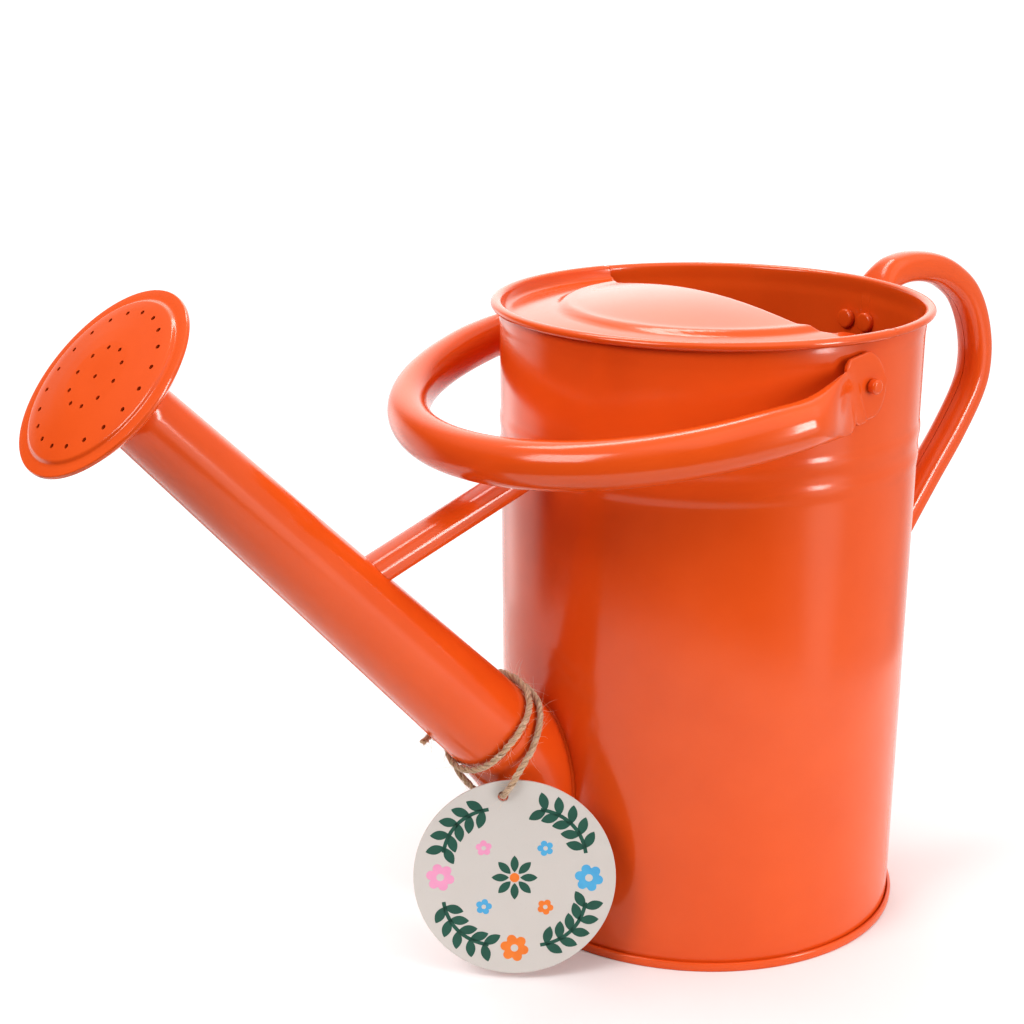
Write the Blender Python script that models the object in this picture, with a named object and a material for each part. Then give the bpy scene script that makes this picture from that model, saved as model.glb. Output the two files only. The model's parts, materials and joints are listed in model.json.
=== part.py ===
"""A painted sheet-steel watering can with a half cover, a swing bail, a back handle,
a push-fit rose and a card tag on twine.

Units are metres and +Z is up, with the floor at Z = 0. The spout points along -X and the
back handle along +X. The can's own axis is the line X = BODY_X, Y = 0, which puts the
origin under the middle of the whole can.
"""

import math

import bmesh
import bpy
from mathutils import Matrix, Vector

MM = 0.001

# Driving dimensions
HEIGHT = 255 * MM
BASE_RADIUS = 82.5 * MM
TOP_RADIUS = 85.0 * MM
SHEET = 0.7 * MM
GAP = 0.35 * MM
BODY_X = 61.7 * MM
BODY_STEPS = 48
ROLL_OPENING = math.radians(9)

# Rim curl, swage beads and base seam
CURL_HALF_WIDTH = 2.1 * MM
CURL_HALF_HEIGHT = 1.6 * MM
BEAD_HEIGHTS = (196.2 * MM, 206.8 * MM)
BEAD_HALF_WIDTH = 2.8 * MM
BEAD_RISE = 0.65 * MM
WALL_BOTTOM = 1.6 * MM
SEAM_RADIUS = 84.3 * MM
SEAM_HEIGHT = 3.6 * MM
FLOOR_HEIGHT = 4.6 * MM
PAN_SHEET = 0.8 * MM
RIM_WIRE_RADIUS = 0.58 * MM
RIM_WIRE_SIDES = 6

# Spout
SPOUT_PITCH = math.radians(45.87)
SPOUT_ROOT_Z = 70.3 * MM
SPOUT_LENGTH = 244.7 * MM
SPOUT_ROOT_RADIUS = 19.85 * MM
SPOUT_TIP_RADIUS = 12.15 * MM
SPOUT_STEPS = 28
MITRE = 37 * MM
ELBOW_HALF_WIDTH = 17.8 * MM
ELBOW_HALF_HEIGHT = 22.8 * MM
ELBOW_DROP = 2.3 * MM
PORT_HALF_DEPTH = 30 * MM
ELBOW_REACH = 70 * MM

# Rose, which leans a little on the end of the spout; heights are from its flange's plane
ROSE_SEAT = 247.9 * MM
ROSE_SEAT_DEPTH = 12.2 * MM
ROSE_PITCH = math.radians(43.4)
ROSE_YAW = math.radians(1.1)
ROSE_RADIUS = 37.15 * MM
ROSE_STEPS = 40
ROSE_HOLE_RADIUS = 0.85 * MM
ROSE_HOLE_RINGS = ((1, 0.0), (10, 11.8 * MM), (20, 26.6 * MM))
ROSE_HOLE_TURN = math.radians(-13)

# Brace between the spout and the wall
BRACE_PITCH = math.radians(20.5)
BRACE_WALL_Z = 200.4 * MM
BRACE_HALF_WIDTH = 7.4 * MM
BRACE_HALF_HEIGHT = 5.2 * MM
BRACE_MIDDLE = 40 * MM
BRACE_REACH = 60 * MM
BRACE_STEPS = 16

# Bail, in its own plane: reach forwards from the pivot and half width across the can
BAIL_PIVOT_X = BODY_X + 1 * MM
BAIL_PIVOT_Z = 235.6 * MM
BAIL_DROOP = math.radians(10.8)
BAIL_REACH = 130.1 * MM
BAIL_HALF_WIDTH = 98 * MM
BAIL_FULLNESS = 0.776
BAIL_TUBE_RADIUS = 8.5 * MM
PADDLE_INNER = 85.4 * MM
PADDLE_OUTER = 88.6 * MM
PADDLE_HALF_HEIGHT = 13 * MM
PADDLE_CORNER_RADIUS = 15.7 * MM
PADDLE_TAIL = 7.6 * MM
PADDLE_NECK = 6 * MM
PADDLE_STEP = 10.6 * MM
PADDLE_SHOULDER = 13.6 * MM
PADDLE_DROP = 1.9 * MM
PRESSED_HALF_HEIGHT = 12.4 * MM
BAIL_SWELL_END = 44 * MM
BAIL_BOW_STEPS = 24
BAIL_RIVET_SPAN = (78 * MM, 95 * MM)
BAIL_HOLE_RADIUS = 2.2 * MM

# Back handle
HANDLE_HALF_WIDTH = 7.6 * MM
HANDLE_HALF_THICKNESS = 6.6 * MM
TAB_HALF_WIDTH = 10 * MM
TAB_HALF_THICKNESS = 1.45 * MM
TAB_TOP_Z = 240 * MM
TAB_FOOT_Z = 84 * MM
HANDLE_RIVET_SPREAD = 5.65 * MM
HANDLE_RIVET_Z = (236.5 * MM, 83 * MM)
HANDLE_RIVET_SPAN = (76 * MM, 92 * MM)
HANDLE_HOLE_RADIUS = 2.4 * MM
HANDLE_SWELL_START = 2.2 * MM
HANDLE_SWELL_RUN = 17 * MM

# Half cover
COVER_EDGE_Z = 249.3 * MM
COVER_RISE = 4.7 * MM
COVER_SHOULDER = 24 * MM
COVER_ARC = math.radians(100)
COVER_CHORD_X = -5 * MM
COVER_BULGE = 4.5 * MM
COVER_BULGE_WIDTH = 54 * MM
COVER_BULGE_DEPTH = 50 * MM
COVER_FLANGE_TOP = 254.3 * MM
COVER_FLANGE_INSET = 0.55 * MM
COVER_WING_RUN = 27 * MM
COVER_WING_BACK = 19.5 * MM
COVER_STATIONS = 27
COVER_SPANS = 8

# Twine and tag
TWINE_RADIUS = 1.25 * MM
TAG_RADIUS = 39.5 * MM
TAG_THICKNESS = 1.0 * MM
TAG_CENTRE = Vector((BODY_X - 114.3 * MM, -23.0 * MM, 42.5 * MM))
TAG_FACING = math.radians(233.7)
TAG_LEAN = math.radians(6.5)
TAG_HOLE_UP = 33 * MM
TAG_HOLE_LEFT = 4.5 * MM
TAG_HOLE_RADIUS = 2.2 * MM

SPOUT_AXIS = Vector((-math.cos(SPOUT_PITCH), 0, math.sin(SPOUT_PITCH)))
SPOUT_OUT = Vector((math.sin(SPOUT_PITCH), 0, math.cos(SPOUT_PITCH)))
NEAR_SIDE = Vector((0, -1, 0))
SPOUT_ROOT = Vector((BODY_X - BASE_RADIUS - 0.7 * MM, 0, SPOUT_ROOT_Z))


# ---------------------------------------------------------------- helpers

def clear_scene():
    for item in list(bpy.data.objects):
        bpy.data.objects.remove(item, do_unlink=True)


def make_material(name, colour, roughness, metallic):
    material = bpy.data.materials.new(name)
    material.use_nodes = True
    shader = material.node_tree.nodes["Principled BSDF"]
    shader.inputs["Base Color"].default_value = (*colour, 1.0)
    shader.inputs["Roughness"].default_value = roughness
    shader.inputs["Metallic"].default_value = metallic
    return material


def add_object(name, mesh, material, sharp_degrees=35):
    mesh.materials.append(material)
    mesh.shade_smooth()
    mesh.set_sharp_from_angle(angle=math.radians(sharp_degrees))
    item = bpy.data.objects.new(name, mesh)
    bpy.context.collection.objects.link(item)
    return item


def set_pivot(item, pivot):
    """Move an object's origin to its joint without moving its shape."""
    item.data.transform(Matrix.Translation(-pivot))
    item.location = pivot


def skin(name, rings, loop=False, cap=None):
    """Join closed rings of points into one surface.

    cap is None, "flat" for a solid end face, or "strip" where each ring runs out along
    one side of a sheet and back along the other.
    """
    bm = bmesh.new()
    rows = [[bm.verts.new(point) for point in ring] for ring in rings]
    pairs = list(zip(rows, rows[1:]))
    if loop:
        pairs.append((rows[-1], rows[0]))
    for first, second in pairs:
        for i, corner in enumerate(first):
            j = (i + 1) % len(first)
            bm.faces.new((corner, first[j], second[j], second[i]))
    for end in (rows[0], rows[-1]):
        if cap == "flat":
            bm.faces.new(end)
        elif cap == "strip":
            for i in range(len(end) // 2 - 1):
                bm.faces.new((end[i], end[i + 1], end[-i - 2], end[-i - 1]))
    bmesh.ops.remove_doubles(bm, verts=bm.verts, dist=1e-7)
    bmesh.ops.recalc_face_normals(bm, faces=bm.faces)
    mesh = bpy.data.meshes.new(name)
    bm.to_mesh(mesh)
    bm.free()
    return mesh


def lathe(name, profile, steps, placing=None):
    """Turn a closed outline of (radius, height) points about the local Z axis."""
    rings = []
    for step in range(steps):
        angle = math.tau * step / steps
        rings.append([Vector((r * math.cos(angle), r * math.sin(angle), z)) for r, z in profile])
    mesh = skin(name, rings, loop=True)
    mesh.transform(placing or Matrix.Translation((BODY_X, 0, 0)))
    return mesh


def axis_placing(origin, direction):
    """A matrix that stands the local Z axis along a direction, at an origin."""
    turn = Vector((0, 0, 1)).rotation_difference(direction)
    return Matrix.Translation(origin) @ turn.to_matrix().to_4x4()


def in_mm(points):
    return [(a * MM, b * MM) for a, b in points]


def smooth_step(value):
    value = min(max(value, 0.0), 1.0)
    return value * value * (3 - 2 * value)


def curve_through(points, per_span):
    """Points on a centripetal Catmull-Rom curve through the given points."""
    padded = [points[0] * 2 - points[1], *points, points[-1] * 2 - points[-2]]
    result = [points[0].copy()]
    for p0, p1, p2, p3 in zip(padded, padded[1:], padded[2:], padded[3:]):
        t1 = (p1 - p0).length ** 0.5
        t2 = t1 + (p2 - p1).length ** 0.5
        t3 = t2 + (p3 - p2).length ** 0.5
        for step in range(1, per_span + 1):
            t = t1 + (t2 - t1) * step / per_span
            a1 = p0.lerp(p1, t / t1)
            a2 = p1.lerp(p2, (t - t1) / (t2 - t1))
            a3 = p2.lerp(p3, (t - t2) / (t3 - t2))
            b1 = a1.lerp(a2, t / t2)
            b2 = a2.lerp(a3, (t - t1) / (t3 - t1))
            result.append(b1.lerp(b2, (t - t1) / (t2 - t1)))
    return result


def rolled_section(centre, across, up, half_across, half_up, slit, points=8):
    """One C-shaped ring of rolled sheet: its outer side, then back along its inner side."""
    ring = []
    for inset, order in ((0.0, range(points)), (SHEET, reversed(range(points)))):
        for i in order:
            angle = slit + ROLL_OPENING + (math.tau - 2 * ROLL_OPENING) * i / (points - 1)
            offset = across * (half_across - inset) * math.cos(angle)
            offset += up * (half_up - inset) * math.sin(angle)
            ring.append(centre + offset)
    return ring


def cut(target, cutters):
    """Subtract a mesh of cutters from an object with an exact Boolean."""
    cutter = bpy.data.objects.new(target.name + "_cutter", cutters)
    bpy.context.collection.objects.link(cutter)
    cutter.hide_render = True
    cutter.display_type = "WIRE"
    modifier = target.modifiers.new("openings", "BOOLEAN")
    modifier.operation = "DIFFERENCE"
    modifier.solver = "EXACT"
    modifier.object = cutter


def rods(name, ends, radius, sides):
    """One mesh of separate straight rods, for cutting round holes."""
    bm = bmesh.new()
    for start, stop in ends:
        placing = axis_placing((start + stop) / 2, (stop - start).normalized())
        bmesh.ops.create_cone(
            bm, cap_ends=True, segments=sides, radius1=radius, radius2=radius,
            depth=(stop - start).length, matrix=placing)
    mesh = bpy.data.meshes.new(name)
    bm.to_mesh(mesh)
    bm.free()
    return mesh


def travel(point, direction, clearance, reach):
    """Slide a point along a direction until its clearance falls to nothing."""
    near, far = 0.0, reach
    for _ in range(40):
        middle = (near + far) / 2
        if clearance(point + direction * middle) > 0:
            near = middle
        else:
            far = middle
    return point + direction * near


# ---------------------------------------------------------------- shared geometry

def wall_radius(z):
    return BASE_RADIUS + (TOP_RADIUS - BASE_RADIUS) * z / HEIGHT


def bead_lift(z):
    """How far a swage bead stands out of the wall at this height."""
    nearest = min(abs(z - bead) for bead in BEAD_HEIGHTS)
    return BEAD_RISE * max(1 - nearest / BEAD_HALF_WIDTH, 0.0)


def wall_clearance(point):
    face = wall_radius(point.z) + bead_lift(point.z)
    return math.hypot(point.x - BODY_X, point.y) - face - GAP


def spout_radius(along):
    return SPOUT_ROOT_RADIUS + (SPOUT_TIP_RADIUS - SPOUT_ROOT_RADIUS) * along / SPOUT_LENGTH


def spout_clearance(point):
    along = (point - SPOUT_ROOT).dot(SPOUT_AXIS)
    off_axis = (point - SPOUT_ROOT - SPOUT_AXIS * along).length
    return off_axis - spout_radius(along) - GAP


def on_spout(along, turn_degrees, radius):
    """A point round the spout: 0 is on top, 90 on the near side, 180 underneath."""
    turn = math.radians(turn_degrees)
    outward = SPOUT_OUT * math.cos(turn) + NEAR_SIDE * math.sin(turn)
    return SPOUT_ROOT + SPOUT_AXIS * along + outward * radius


def spout_ring(along, half_width, half_height, drop=0.0):
    centre = SPOUT_ROOT + SPOUT_AXIS * along - SPOUT_OUT * drop
    ring = []
    for step in range(SPOUT_STEPS):
        turn = math.tau * step / SPOUT_STEPS
        offset = SPOUT_OUT * half_height * math.cos(turn) + NEAR_SIDE * half_width * math.sin(turn)
        ring.append(centre + offset)
    return ring


# ---------------------------------------------------------------- body

def bead_profile(offset, upwards):
    """The wall's face from its foot to the curl, with both swage beads."""
    points = [(wall_radius(WALL_BOTTOM) - offset, WALL_BOTTOM)]
    for z in BEAD_HEIGHTS:
        points.append((wall_radius(z - BEAD_HALF_WIDTH) - offset, z - BEAD_HALF_WIDTH))
        points.append((wall_radius(z) - offset + BEAD_RISE, z))
        points.append((wall_radius(z + BEAD_HALF_WIDTH) - offset, z + BEAD_HALF_WIDTH))
    return points if upwards else points[::-1]


def curl_centre():
    return TOP_RADIUS - SHEET + CURL_HALF_WIDTH, HEIGHT - CURL_HALF_HEIGHT


def curl_arc(inset):
    """One face of the rolled rim, as a slightly flattened arc from the wall round to its free edge."""
    r_centre, z_centre = curl_centre()
    turns = [math.radians(a) for a in (180, 120, 60, 0, -60, -112)]
    return [(r_centre + (CURL_HALF_WIDTH - inset) * math.cos(a),
             z_centre + (CURL_HALF_HEIGHT - inset) * math.sin(a)) for a in turns]


def build_body_shell(paint):
    """The conical wall with its rolled rim, and its openings for the spout and the rivets."""
    rim = curl_arc(SHEET) + curl_arc(0.0)[::-1]
    profile = bead_profile(0.0, True) + rim + bead_profile(SHEET, False)
    shell = add_object("body_shell", lathe("body_shell", profile, BODY_STEPS), paint)

    port = [spout_ring(along, ELBOW_HALF_WIDTH - SHEET, ELBOW_HALF_HEIGHT - SHEET, ELBOW_DROP)
            for along in (-PORT_HALF_DEPTH, PORT_HALF_DEPTH)]
    cutters = bmesh.new()
    cutters.from_mesh(skin("spout_port", port, cap="flat"))
    cutters.from_mesh(rods("rivet_holes", bail_rivet_lines(), BAIL_HOLE_RADIUS, 10))
    cutters.from_mesh(rods("handle_holes", handle_rivet_lines(), HANDLE_HOLE_RADIUS, 10))
    mesh = bpy.data.meshes.new("wall_openings")
    cutters.to_mesh(mesh)
    cutters.free()
    cut(shell, mesh)


def build_rim_wire(steel):
    """The wire that the rim is rolled round."""
    r_centre, z_centre = curl_centre()
    profile = []
    for side in range(RIM_WIRE_SIDES):
        angle = math.tau * side / RIM_WIRE_SIDES
        r = r_centre + RIM_WIRE_RADIUS * math.cos(angle)
        profile.append((r, z_centre + RIM_WIRE_RADIUS * math.sin(angle)))
    add_object("rim_wire", lathe("rim_wire", profile, BODY_STEPS), steel)


def build_base_pan(paint):
    """The floor, whose rim is folded round the foot of the wall and stands on the ground."""
    bottom = FLOOR_HEIGHT - PAN_SHEET
    inner_leg = BASE_RADIUS - SHEET - GAP
    outer_leg = BASE_RADIUS + GAP
    profile = [
        (0, FLOOR_HEIGHT), (inner_leg, FLOOR_HEIGHT), (inner_leg, 1.2 * MM), (outer_leg, 1.2 * MM),
        (outer_leg, SEAM_HEIGHT), (SEAM_RADIUS, SEAM_HEIGHT), (SEAM_RADIUS, 0.5 * MM),
        (SEAM_RADIUS - 0.5 * MM, 0), (inner_leg - 0.3 * MM, 0), (inner_leg - 0.8 * MM, 0.5 * MM),
        (inner_leg - 0.8 * MM, bottom), (0, bottom)]
    add_object("base_pan", lathe("base_pan", profile, BODY_STEPS), paint)


def cover_free_edge_x(y):
    """The cover's free edge runs straight across its bulge, then back to the wall."""
    past = max(abs(y) - COVER_BULGE_WIDTH, 0.0) / COVER_WING_RUN
    return COVER_CHORD_X + COVER_WING_BACK * past ** 1.2


def cover_height(x, y, inner_radius):
    """The plate rises from the wall to a shelf, and the shelf swells towards the free edge."""
    from_wall = inner_radius - math.hypot(x, y)
    height = COVER_EDGE_Z + COVER_RISE * smooth_step(from_wall / COVER_SHOULDER)
    inside = 1 - (y / COVER_BULGE_WIDTH) ** 2 - ((x - COVER_CHORD_X) / COVER_BULGE_DEPTH) ** 2
    return height + COVER_BULGE * max(inside, 0.0) ** 1.15


def build_top_cover(paint):
    """The half cover: a plate with a flange that turns up inside the rim."""
    outer = TOP_RADIUS - SHEET - COVER_FLANGE_INSET
    inner = outer - SHEET
    rings = []
    for station in range(COVER_STATIONS):
        side = 2 * station / (COVER_STATIONS - 1) - 1
        angle = math.pi + COVER_ARC * side
        wall = Vector((math.cos(angle), math.sin(angle)))
        edge_y = -side * (outer - 3 * MM)
        edge = Vector((cover_free_edge_x(edge_y), edge_y))
        top = []
        bottom = []
        for span in range(COVER_SPANS + 1):
            flat = edge.lerp(wall * inner, span / COVER_SPANS)
            height = cover_height(flat.x, flat.y, inner)
            top.append(Vector((BODY_X + flat.x, flat.y, height)))
            bottom.append(Vector((BODY_X + flat.x, flat.y, height - SHEET)))
        top.append(Vector((BODY_X + wall.x * inner, wall.y * inner, COVER_FLANGE_TOP)))
        bottom[-1] = Vector((BODY_X + wall.x * outer, wall.y * outer, bottom[-1].z))
        bottom.append(Vector((BODY_X + wall.x * outer, wall.y * outer, COVER_FLANGE_TOP)))
        rings.append(top + bottom[::-1])
    add_object("top_cover", skin("top_cover", rings, cap="strip"), paint)


# ---------------------------------------------------------------- spout

def build_spout_tube(paint):
    """The tapered tube, from its mitre with the elbow to its open end."""
    rings = []
    for inset, order in ((0.0, (MITRE, SPOUT_LENGTH)), (SHEET, (SPOUT_LENGTH, MITRE))):
        for along in order:
            radius = spout_radius(along) - inset
            rings.append(spout_ring(along, radius, radius))
    add_object("spout_tube", skin("spout_tube", rings, loop=True), paint)


def build_spout_elbow(paint):
    """The short length that widens to a tall oval where it meets the wall."""
    start = MITRE - GAP
    rings = []
    for inset in (0.0, SHEET):
        radius = spout_radius(start) - inset
        mouth = spout_ring(start, radius, radius)
        guide = spout_ring(start, ELBOW_HALF_WIDTH - inset, ELBOW_HALF_HEIGHT - inset, ELBOW_DROP)
        root = [travel(point, -SPOUT_AXIS, wall_clearance, ELBOW_REACH) for point in guide]
        rings += [mouth, root] if inset == 0.0 else [root, mouth]
    add_object("spout_elbow", skin("spout_elbow", rings, loop=True), paint)


def build_spout_brace(paint):
    """The flattened tube that ties the spout to the wall, fitted to both of their curves."""
    along = Vector((math.cos(BRACE_PITCH), 0, math.sin(BRACE_PITCH)))
    up = Vector((-math.sin(BRACE_PITCH), 0, math.cos(BRACE_PITCH)))
    wall_point = Vector((BODY_X - wall_radius(BRACE_WALL_Z), 0, BRACE_WALL_Z))
    middle = wall_point - along * BRACE_MIDDLE
    rings = []
    for inset in (0.0, SHEET):
        ring = []
        for step in range(BRACE_STEPS):
            angle = math.tau * step / BRACE_STEPS
            offset = up * (BRACE_HALF_HEIGHT - inset) * math.sin(angle)
            ring.append(middle + offset + NEAR_SIDE * (BRACE_HALF_WIDTH - inset) * math.cos(angle))
        at_wall = [travel(point, along, wall_clearance, BRACE_REACH) for point in ring]
        at_spout = [travel(point, -along, spout_clearance, BRACE_REACH) for point in ring]
        rings += [at_spout, at_wall] if inset == 0.0 else [at_wall, at_spout]
    add_object("spout_brace", skin("spout_brace", rings, loop=True), paint)


# ---------------------------------------------------------------- rose

def rose_axis():
    level = math.cos(ROSE_PITCH)
    return Vector((-level * math.cos(ROSE_YAW), -level * math.sin(ROSE_YAW), math.sin(ROSE_PITCH)))


def rose_placing():
    """Stands local Z along the rose's own axis, with X towards its top and Z = 0 at its flange."""
    axis = rose_axis()
    top = (SPOUT_OUT - axis * SPOUT_OUT.dot(axis)).normalized()
    origin = SPOUT_ROOT + SPOUT_AXIS * ROSE_SEAT + axis * ROSE_SEAT_DEPTH
    return Matrix.Translation(origin) @ Matrix((top, axis.cross(top), axis)).transposed().to_4x4()


def build_rose_face(paint):
    """The pressed front plate: a low dome, a step, a flat flange and its turned-back skirt."""
    edge = ROSE_RADIUS / MM
    profile = in_mm([
        (0, 2.8), (14, 2.75), (27, 1.7), (31.4, 1.3), (32.6, 0.1), (edge - 0.5, 0.0), (edge, -0.5),
        (edge, -1.5), (edge - 0.7, -1.5), (edge - 0.7, -0.7), (32.2, -0.7), (31.0, 0.5),
        (27, 0.9), (14, 1.95), (0, 2.0)])
    face = add_object("rose_face", lathe("rose_face", profile, ROSE_STEPS, rose_placing()), paint)
    holes = []
    for count, radius in ROSE_HOLE_RINGS:
        for step in range(count):
            angle = ROSE_HOLE_TURN + math.tau * step / count
            spot = rose_placing() @ Vector((radius * math.cos(angle), radius * math.sin(angle), 0))
            holes.append((spot, spot + rose_axis() * 6 * MM))
    cut(face, rods("rose_holes", holes, ROSE_HOLE_RADIUS, 6))
    return face


def build_rose_back(paint):
    """The shallow cone that closes the rose behind its face."""
    profile = in_mm([
        (36.1, -1.1), (36.1, -2.0), (30, -6.0), (18, -11.0), (13.2, -12.6), (10.7, -12.6),
        (10.7, -11.8), (12.9, -11.8), (17.7, -10.2), (29.7, -5.2), (35.2, -1.8), (35.2, -1.1)])
    return add_object("rose_back", lathe("rose_back", profile, ROSE_STEPS, rose_placing()), paint)


def build_rose_neck(paint):
    """The push-fit collar: a lip inside the cone, a bead outside it and a plug for the spout."""
    bore, tube, lip, bead, end = 9.2, 9.9, 11.9, 13.0, -28
    profile = in_mm([
        (bore, -10.6), (lip, -10.6), (lip, -11.3), (tube, -11.3), (tube, -13.0), (bead, -13.0),
        (bead, -13.9), (tube, -13.9), (tube, end), (bore, end)])
    return add_object("rose_neck", lathe("rose_neck", profile, 24, rose_placing()), paint)


def build_rose(paint):
    for piece in (build_rose_face(paint), build_rose_back(paint), build_rose_neck(paint)):
        set_pivot(piece, SPOUT_ROOT + SPOUT_AXIS * ROSE_SEAT)


# ---------------------------------------------------------------- rivets

def add_rivet(name, profile, origin, direction, paint):
    mesh = lathe(name, in_mm(profile), 10, axis_placing(origin, direction))
    return add_object(name, mesh, paint)


def bail_rivet_lines():
    lines = []
    for side in (-1, 1):
        lines.append([Vector((BAIL_PIVOT_X, side * y, BAIL_PIVOT_Z)) for y in BAIL_RIVET_SPAN])
    return lines


def build_bail_rivets(paint):
    rivet = [(0, 91.9), (2.2, 91.9), (2.8, 91.3), (2.8, 89.0), (1.8, 89.0), (1.8, 82.3),
             (3.2, 82.3), (3.2, 81.6), (2.6, 81.1), (0, 81.1)]
    washer = [(2.15, 83.4), (5.0, 83.4), (5.0, 82.65), (2.15, 82.65)]
    for side, label in ((-1, "near"), (1, "far")):
        origin = Vector((BAIL_PIVOT_X, 0, BAIL_PIVOT_Z))
        direction = Vector((0, side, 0))
        add_rivet("bail_rivet_" + label, rivet, origin, direction, paint)
        add_rivet("bail_washer_" + label, washer, origin, direction, paint)


def handle_rivet_lines():
    lines = []
    for z in HANDLE_RIVET_Z:
        for side in (-1, 1):
            lines.append([Vector((BODY_X + x, side * HANDLE_RIVET_SPREAD, z)) for x in HANDLE_RIVET_SPAN])
    return lines


def build_handle_rivets(paint):
    for z, level in zip(HANDLE_RIVET_Z, ("upper", "lower")):
        shell = wall_radius(z) / MM
        rivet = [(0, shell + 5.1), (2.2, shell + 5.1), (3.0, shell + 4.5), (3.0, shell + 3.75),
                 (2.0, shell + 3.75), (2.0, shell - 1.75), (4.0, shell - 1.75), (4.0, shell - 3.2),
                 (3.2, shell - 4.0), (0, shell - 4.0)]
        for side, label in ((-1, "near"), (1, "far")):
            origin = Vector((BODY_X, side * HANDLE_RIVET_SPREAD, z))
            add_rivet("handle_rivet_%s_%s" % (level, label), rivet, origin, Vector((1, 0, 0)), paint)


# ---------------------------------------------------------------- handles

def bail_frame():
    """The bail's own forward and upward directions at rest."""
    forward = Vector((-math.cos(BAIL_DROOP), 0, -math.sin(BAIL_DROOP)))
    up = Vector((-math.sin(BAIL_DROOP), 0, math.cos(BAIL_DROOP)))
    return forward, up


def bail_turn(reach):
    """The curve's parameter where the bail has come a given way forwards."""
    return math.asin((reach / BAIL_REACH) ** (1 / BAIL_FULLNESS))


def bail_arm(reach):
    """Half width, half thickness, half height and drop of one arm, this far from the pivot."""
    curve = BAIL_HALF_WIDTH * math.cos(bail_turn(max(reach, 0.0)))
    lift = smooth_step((reach - PADDLE_STEP) / (PADDLE_SHOULDER - PADDLE_STEP))
    swell = smooth_step((reach - PADDLE_NECK) / (BAIL_SWELL_END - PADDLE_NECK))
    inner = PADDLE_INNER + (curve - BAIL_TUBE_RADIUS - PADDLE_INNER) * lift
    outer = PADDLE_OUTER + (curve + BAIL_TUBE_RADIUS - PADDLE_OUTER) * swell
    drop = PADDLE_DROP * lift * (1 - swell)
    if reach < 0:
        tall = PADDLE_HALF_HEIGHT * math.sqrt(1 - (reach / PADDLE_TAIL) ** 2)
    else:
        corner = math.sqrt(max(PADDLE_CORNER_RADIUS ** 2 - reach ** 2, 0.0))
        tall = min(PADDLE_HALF_HEIGHT, corner)
        pressed = PRESSED_HALF_HEIGHT + (BAIL_TUBE_RADIUS - PRESSED_HALF_HEIGHT) * swell
        tall += (pressed - tall) * lift
    return (inner + outer) / 2, (outer - inner) / 2, tall, drop


def build_bail(paint):
    """The swing handle: a rolled tube bent to a bow, with its ends pressed flat at the pivots."""
    pivot = Vector((BAIL_PIVOT_X, 0, BAIL_PIVOT_Z))
    forward, up = bail_frame()
    arm = [reach * MM for reach in (-7.3, -6, -3.5, 0, 6.4, 8.8, 10.6, 12.2, 13.6, 18, 23, 28, 34, 40, 46)]
    first_turn = bail_turn(arm[-1])
    stations = [(-1, *bail_arm(reach), reach, Vector((0, -1, 0))) for reach in arm]
    for step in range(1, BAIL_BOW_STEPS):
        turn = first_turn + (math.pi - 2 * first_turn) * step / BAIL_BOW_STEPS
        reach = BAIL_REACH * math.sin(turn) ** BAIL_FULLNESS
        slope_forward = BAIL_REACH * BAIL_FULLNESS * math.sin(turn) ** (BAIL_FULLNESS - 1) * math.cos(turn)
        slope_across = BAIL_HALF_WIDTH * math.sin(turn)
        across = (forward * slope_across - Vector((0, slope_forward, 0))).normalized()
        width = BAIL_HALF_WIDTH * math.cos(turn)
        stations.append((-1, width, BAIL_TUBE_RADIUS, BAIL_TUBE_RADIUS, 0.0, reach, across))
    stations += [(1, *bail_arm(reach), reach, Vector((0, 1, 0))) for reach in reversed(arm)]
    rings = []
    for side, width, thick, tall, drop, reach, across in stations:
        centre = pivot + forward * reach - up * drop + Vector((0, side * width, 0))
        rings.append(rolled_section(centre, across, up, thick, tall, -math.pi / 2))
    bail = add_object("bail_handle", skin("bail_handle", rings, cap="strip"), paint, 50)
    cut(bail, rods("bail_holes", bail_rivet_lines(), BAIL_HOLE_RADIUS, 10))
    set_pivot(bail, pivot)


def handle_path():
    """The back handle's centre line in the can's own X and Z, from its top tab to its foot."""
    top = wall_radius(TAB_TOP_Z) / MM + 0.4 + TAB_HALF_THICKNESS / MM
    foot = wall_radius(TAB_FOOT_Z) / MM + 0.5 + TAB_HALF_THICKNESS / MM
    points = [
        (top, 227), (top, 234), (top + 0.1, 240.5), (91.5, 248.2), (99, 253.6), (108.5, 256.2),
        (119, 256.2), (130.6, 253.7), (139.8, 249.3), (149.1, 242), (155.8, 231.5), (160.1, 217),
        (160.0, 204.6),
        (157.0, 195.7), (146.0, 178.5), (131.6, 160.3), (117.0, 141.2), (103.6, 122.6), (94.4, 108),
        (88.9, 98.5), (foot + 0.4, 91.5), (foot, 84), (foot, 75)]
    return [Vector((BODY_X + x * MM, 0, z * MM)) for x, z in points]


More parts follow.
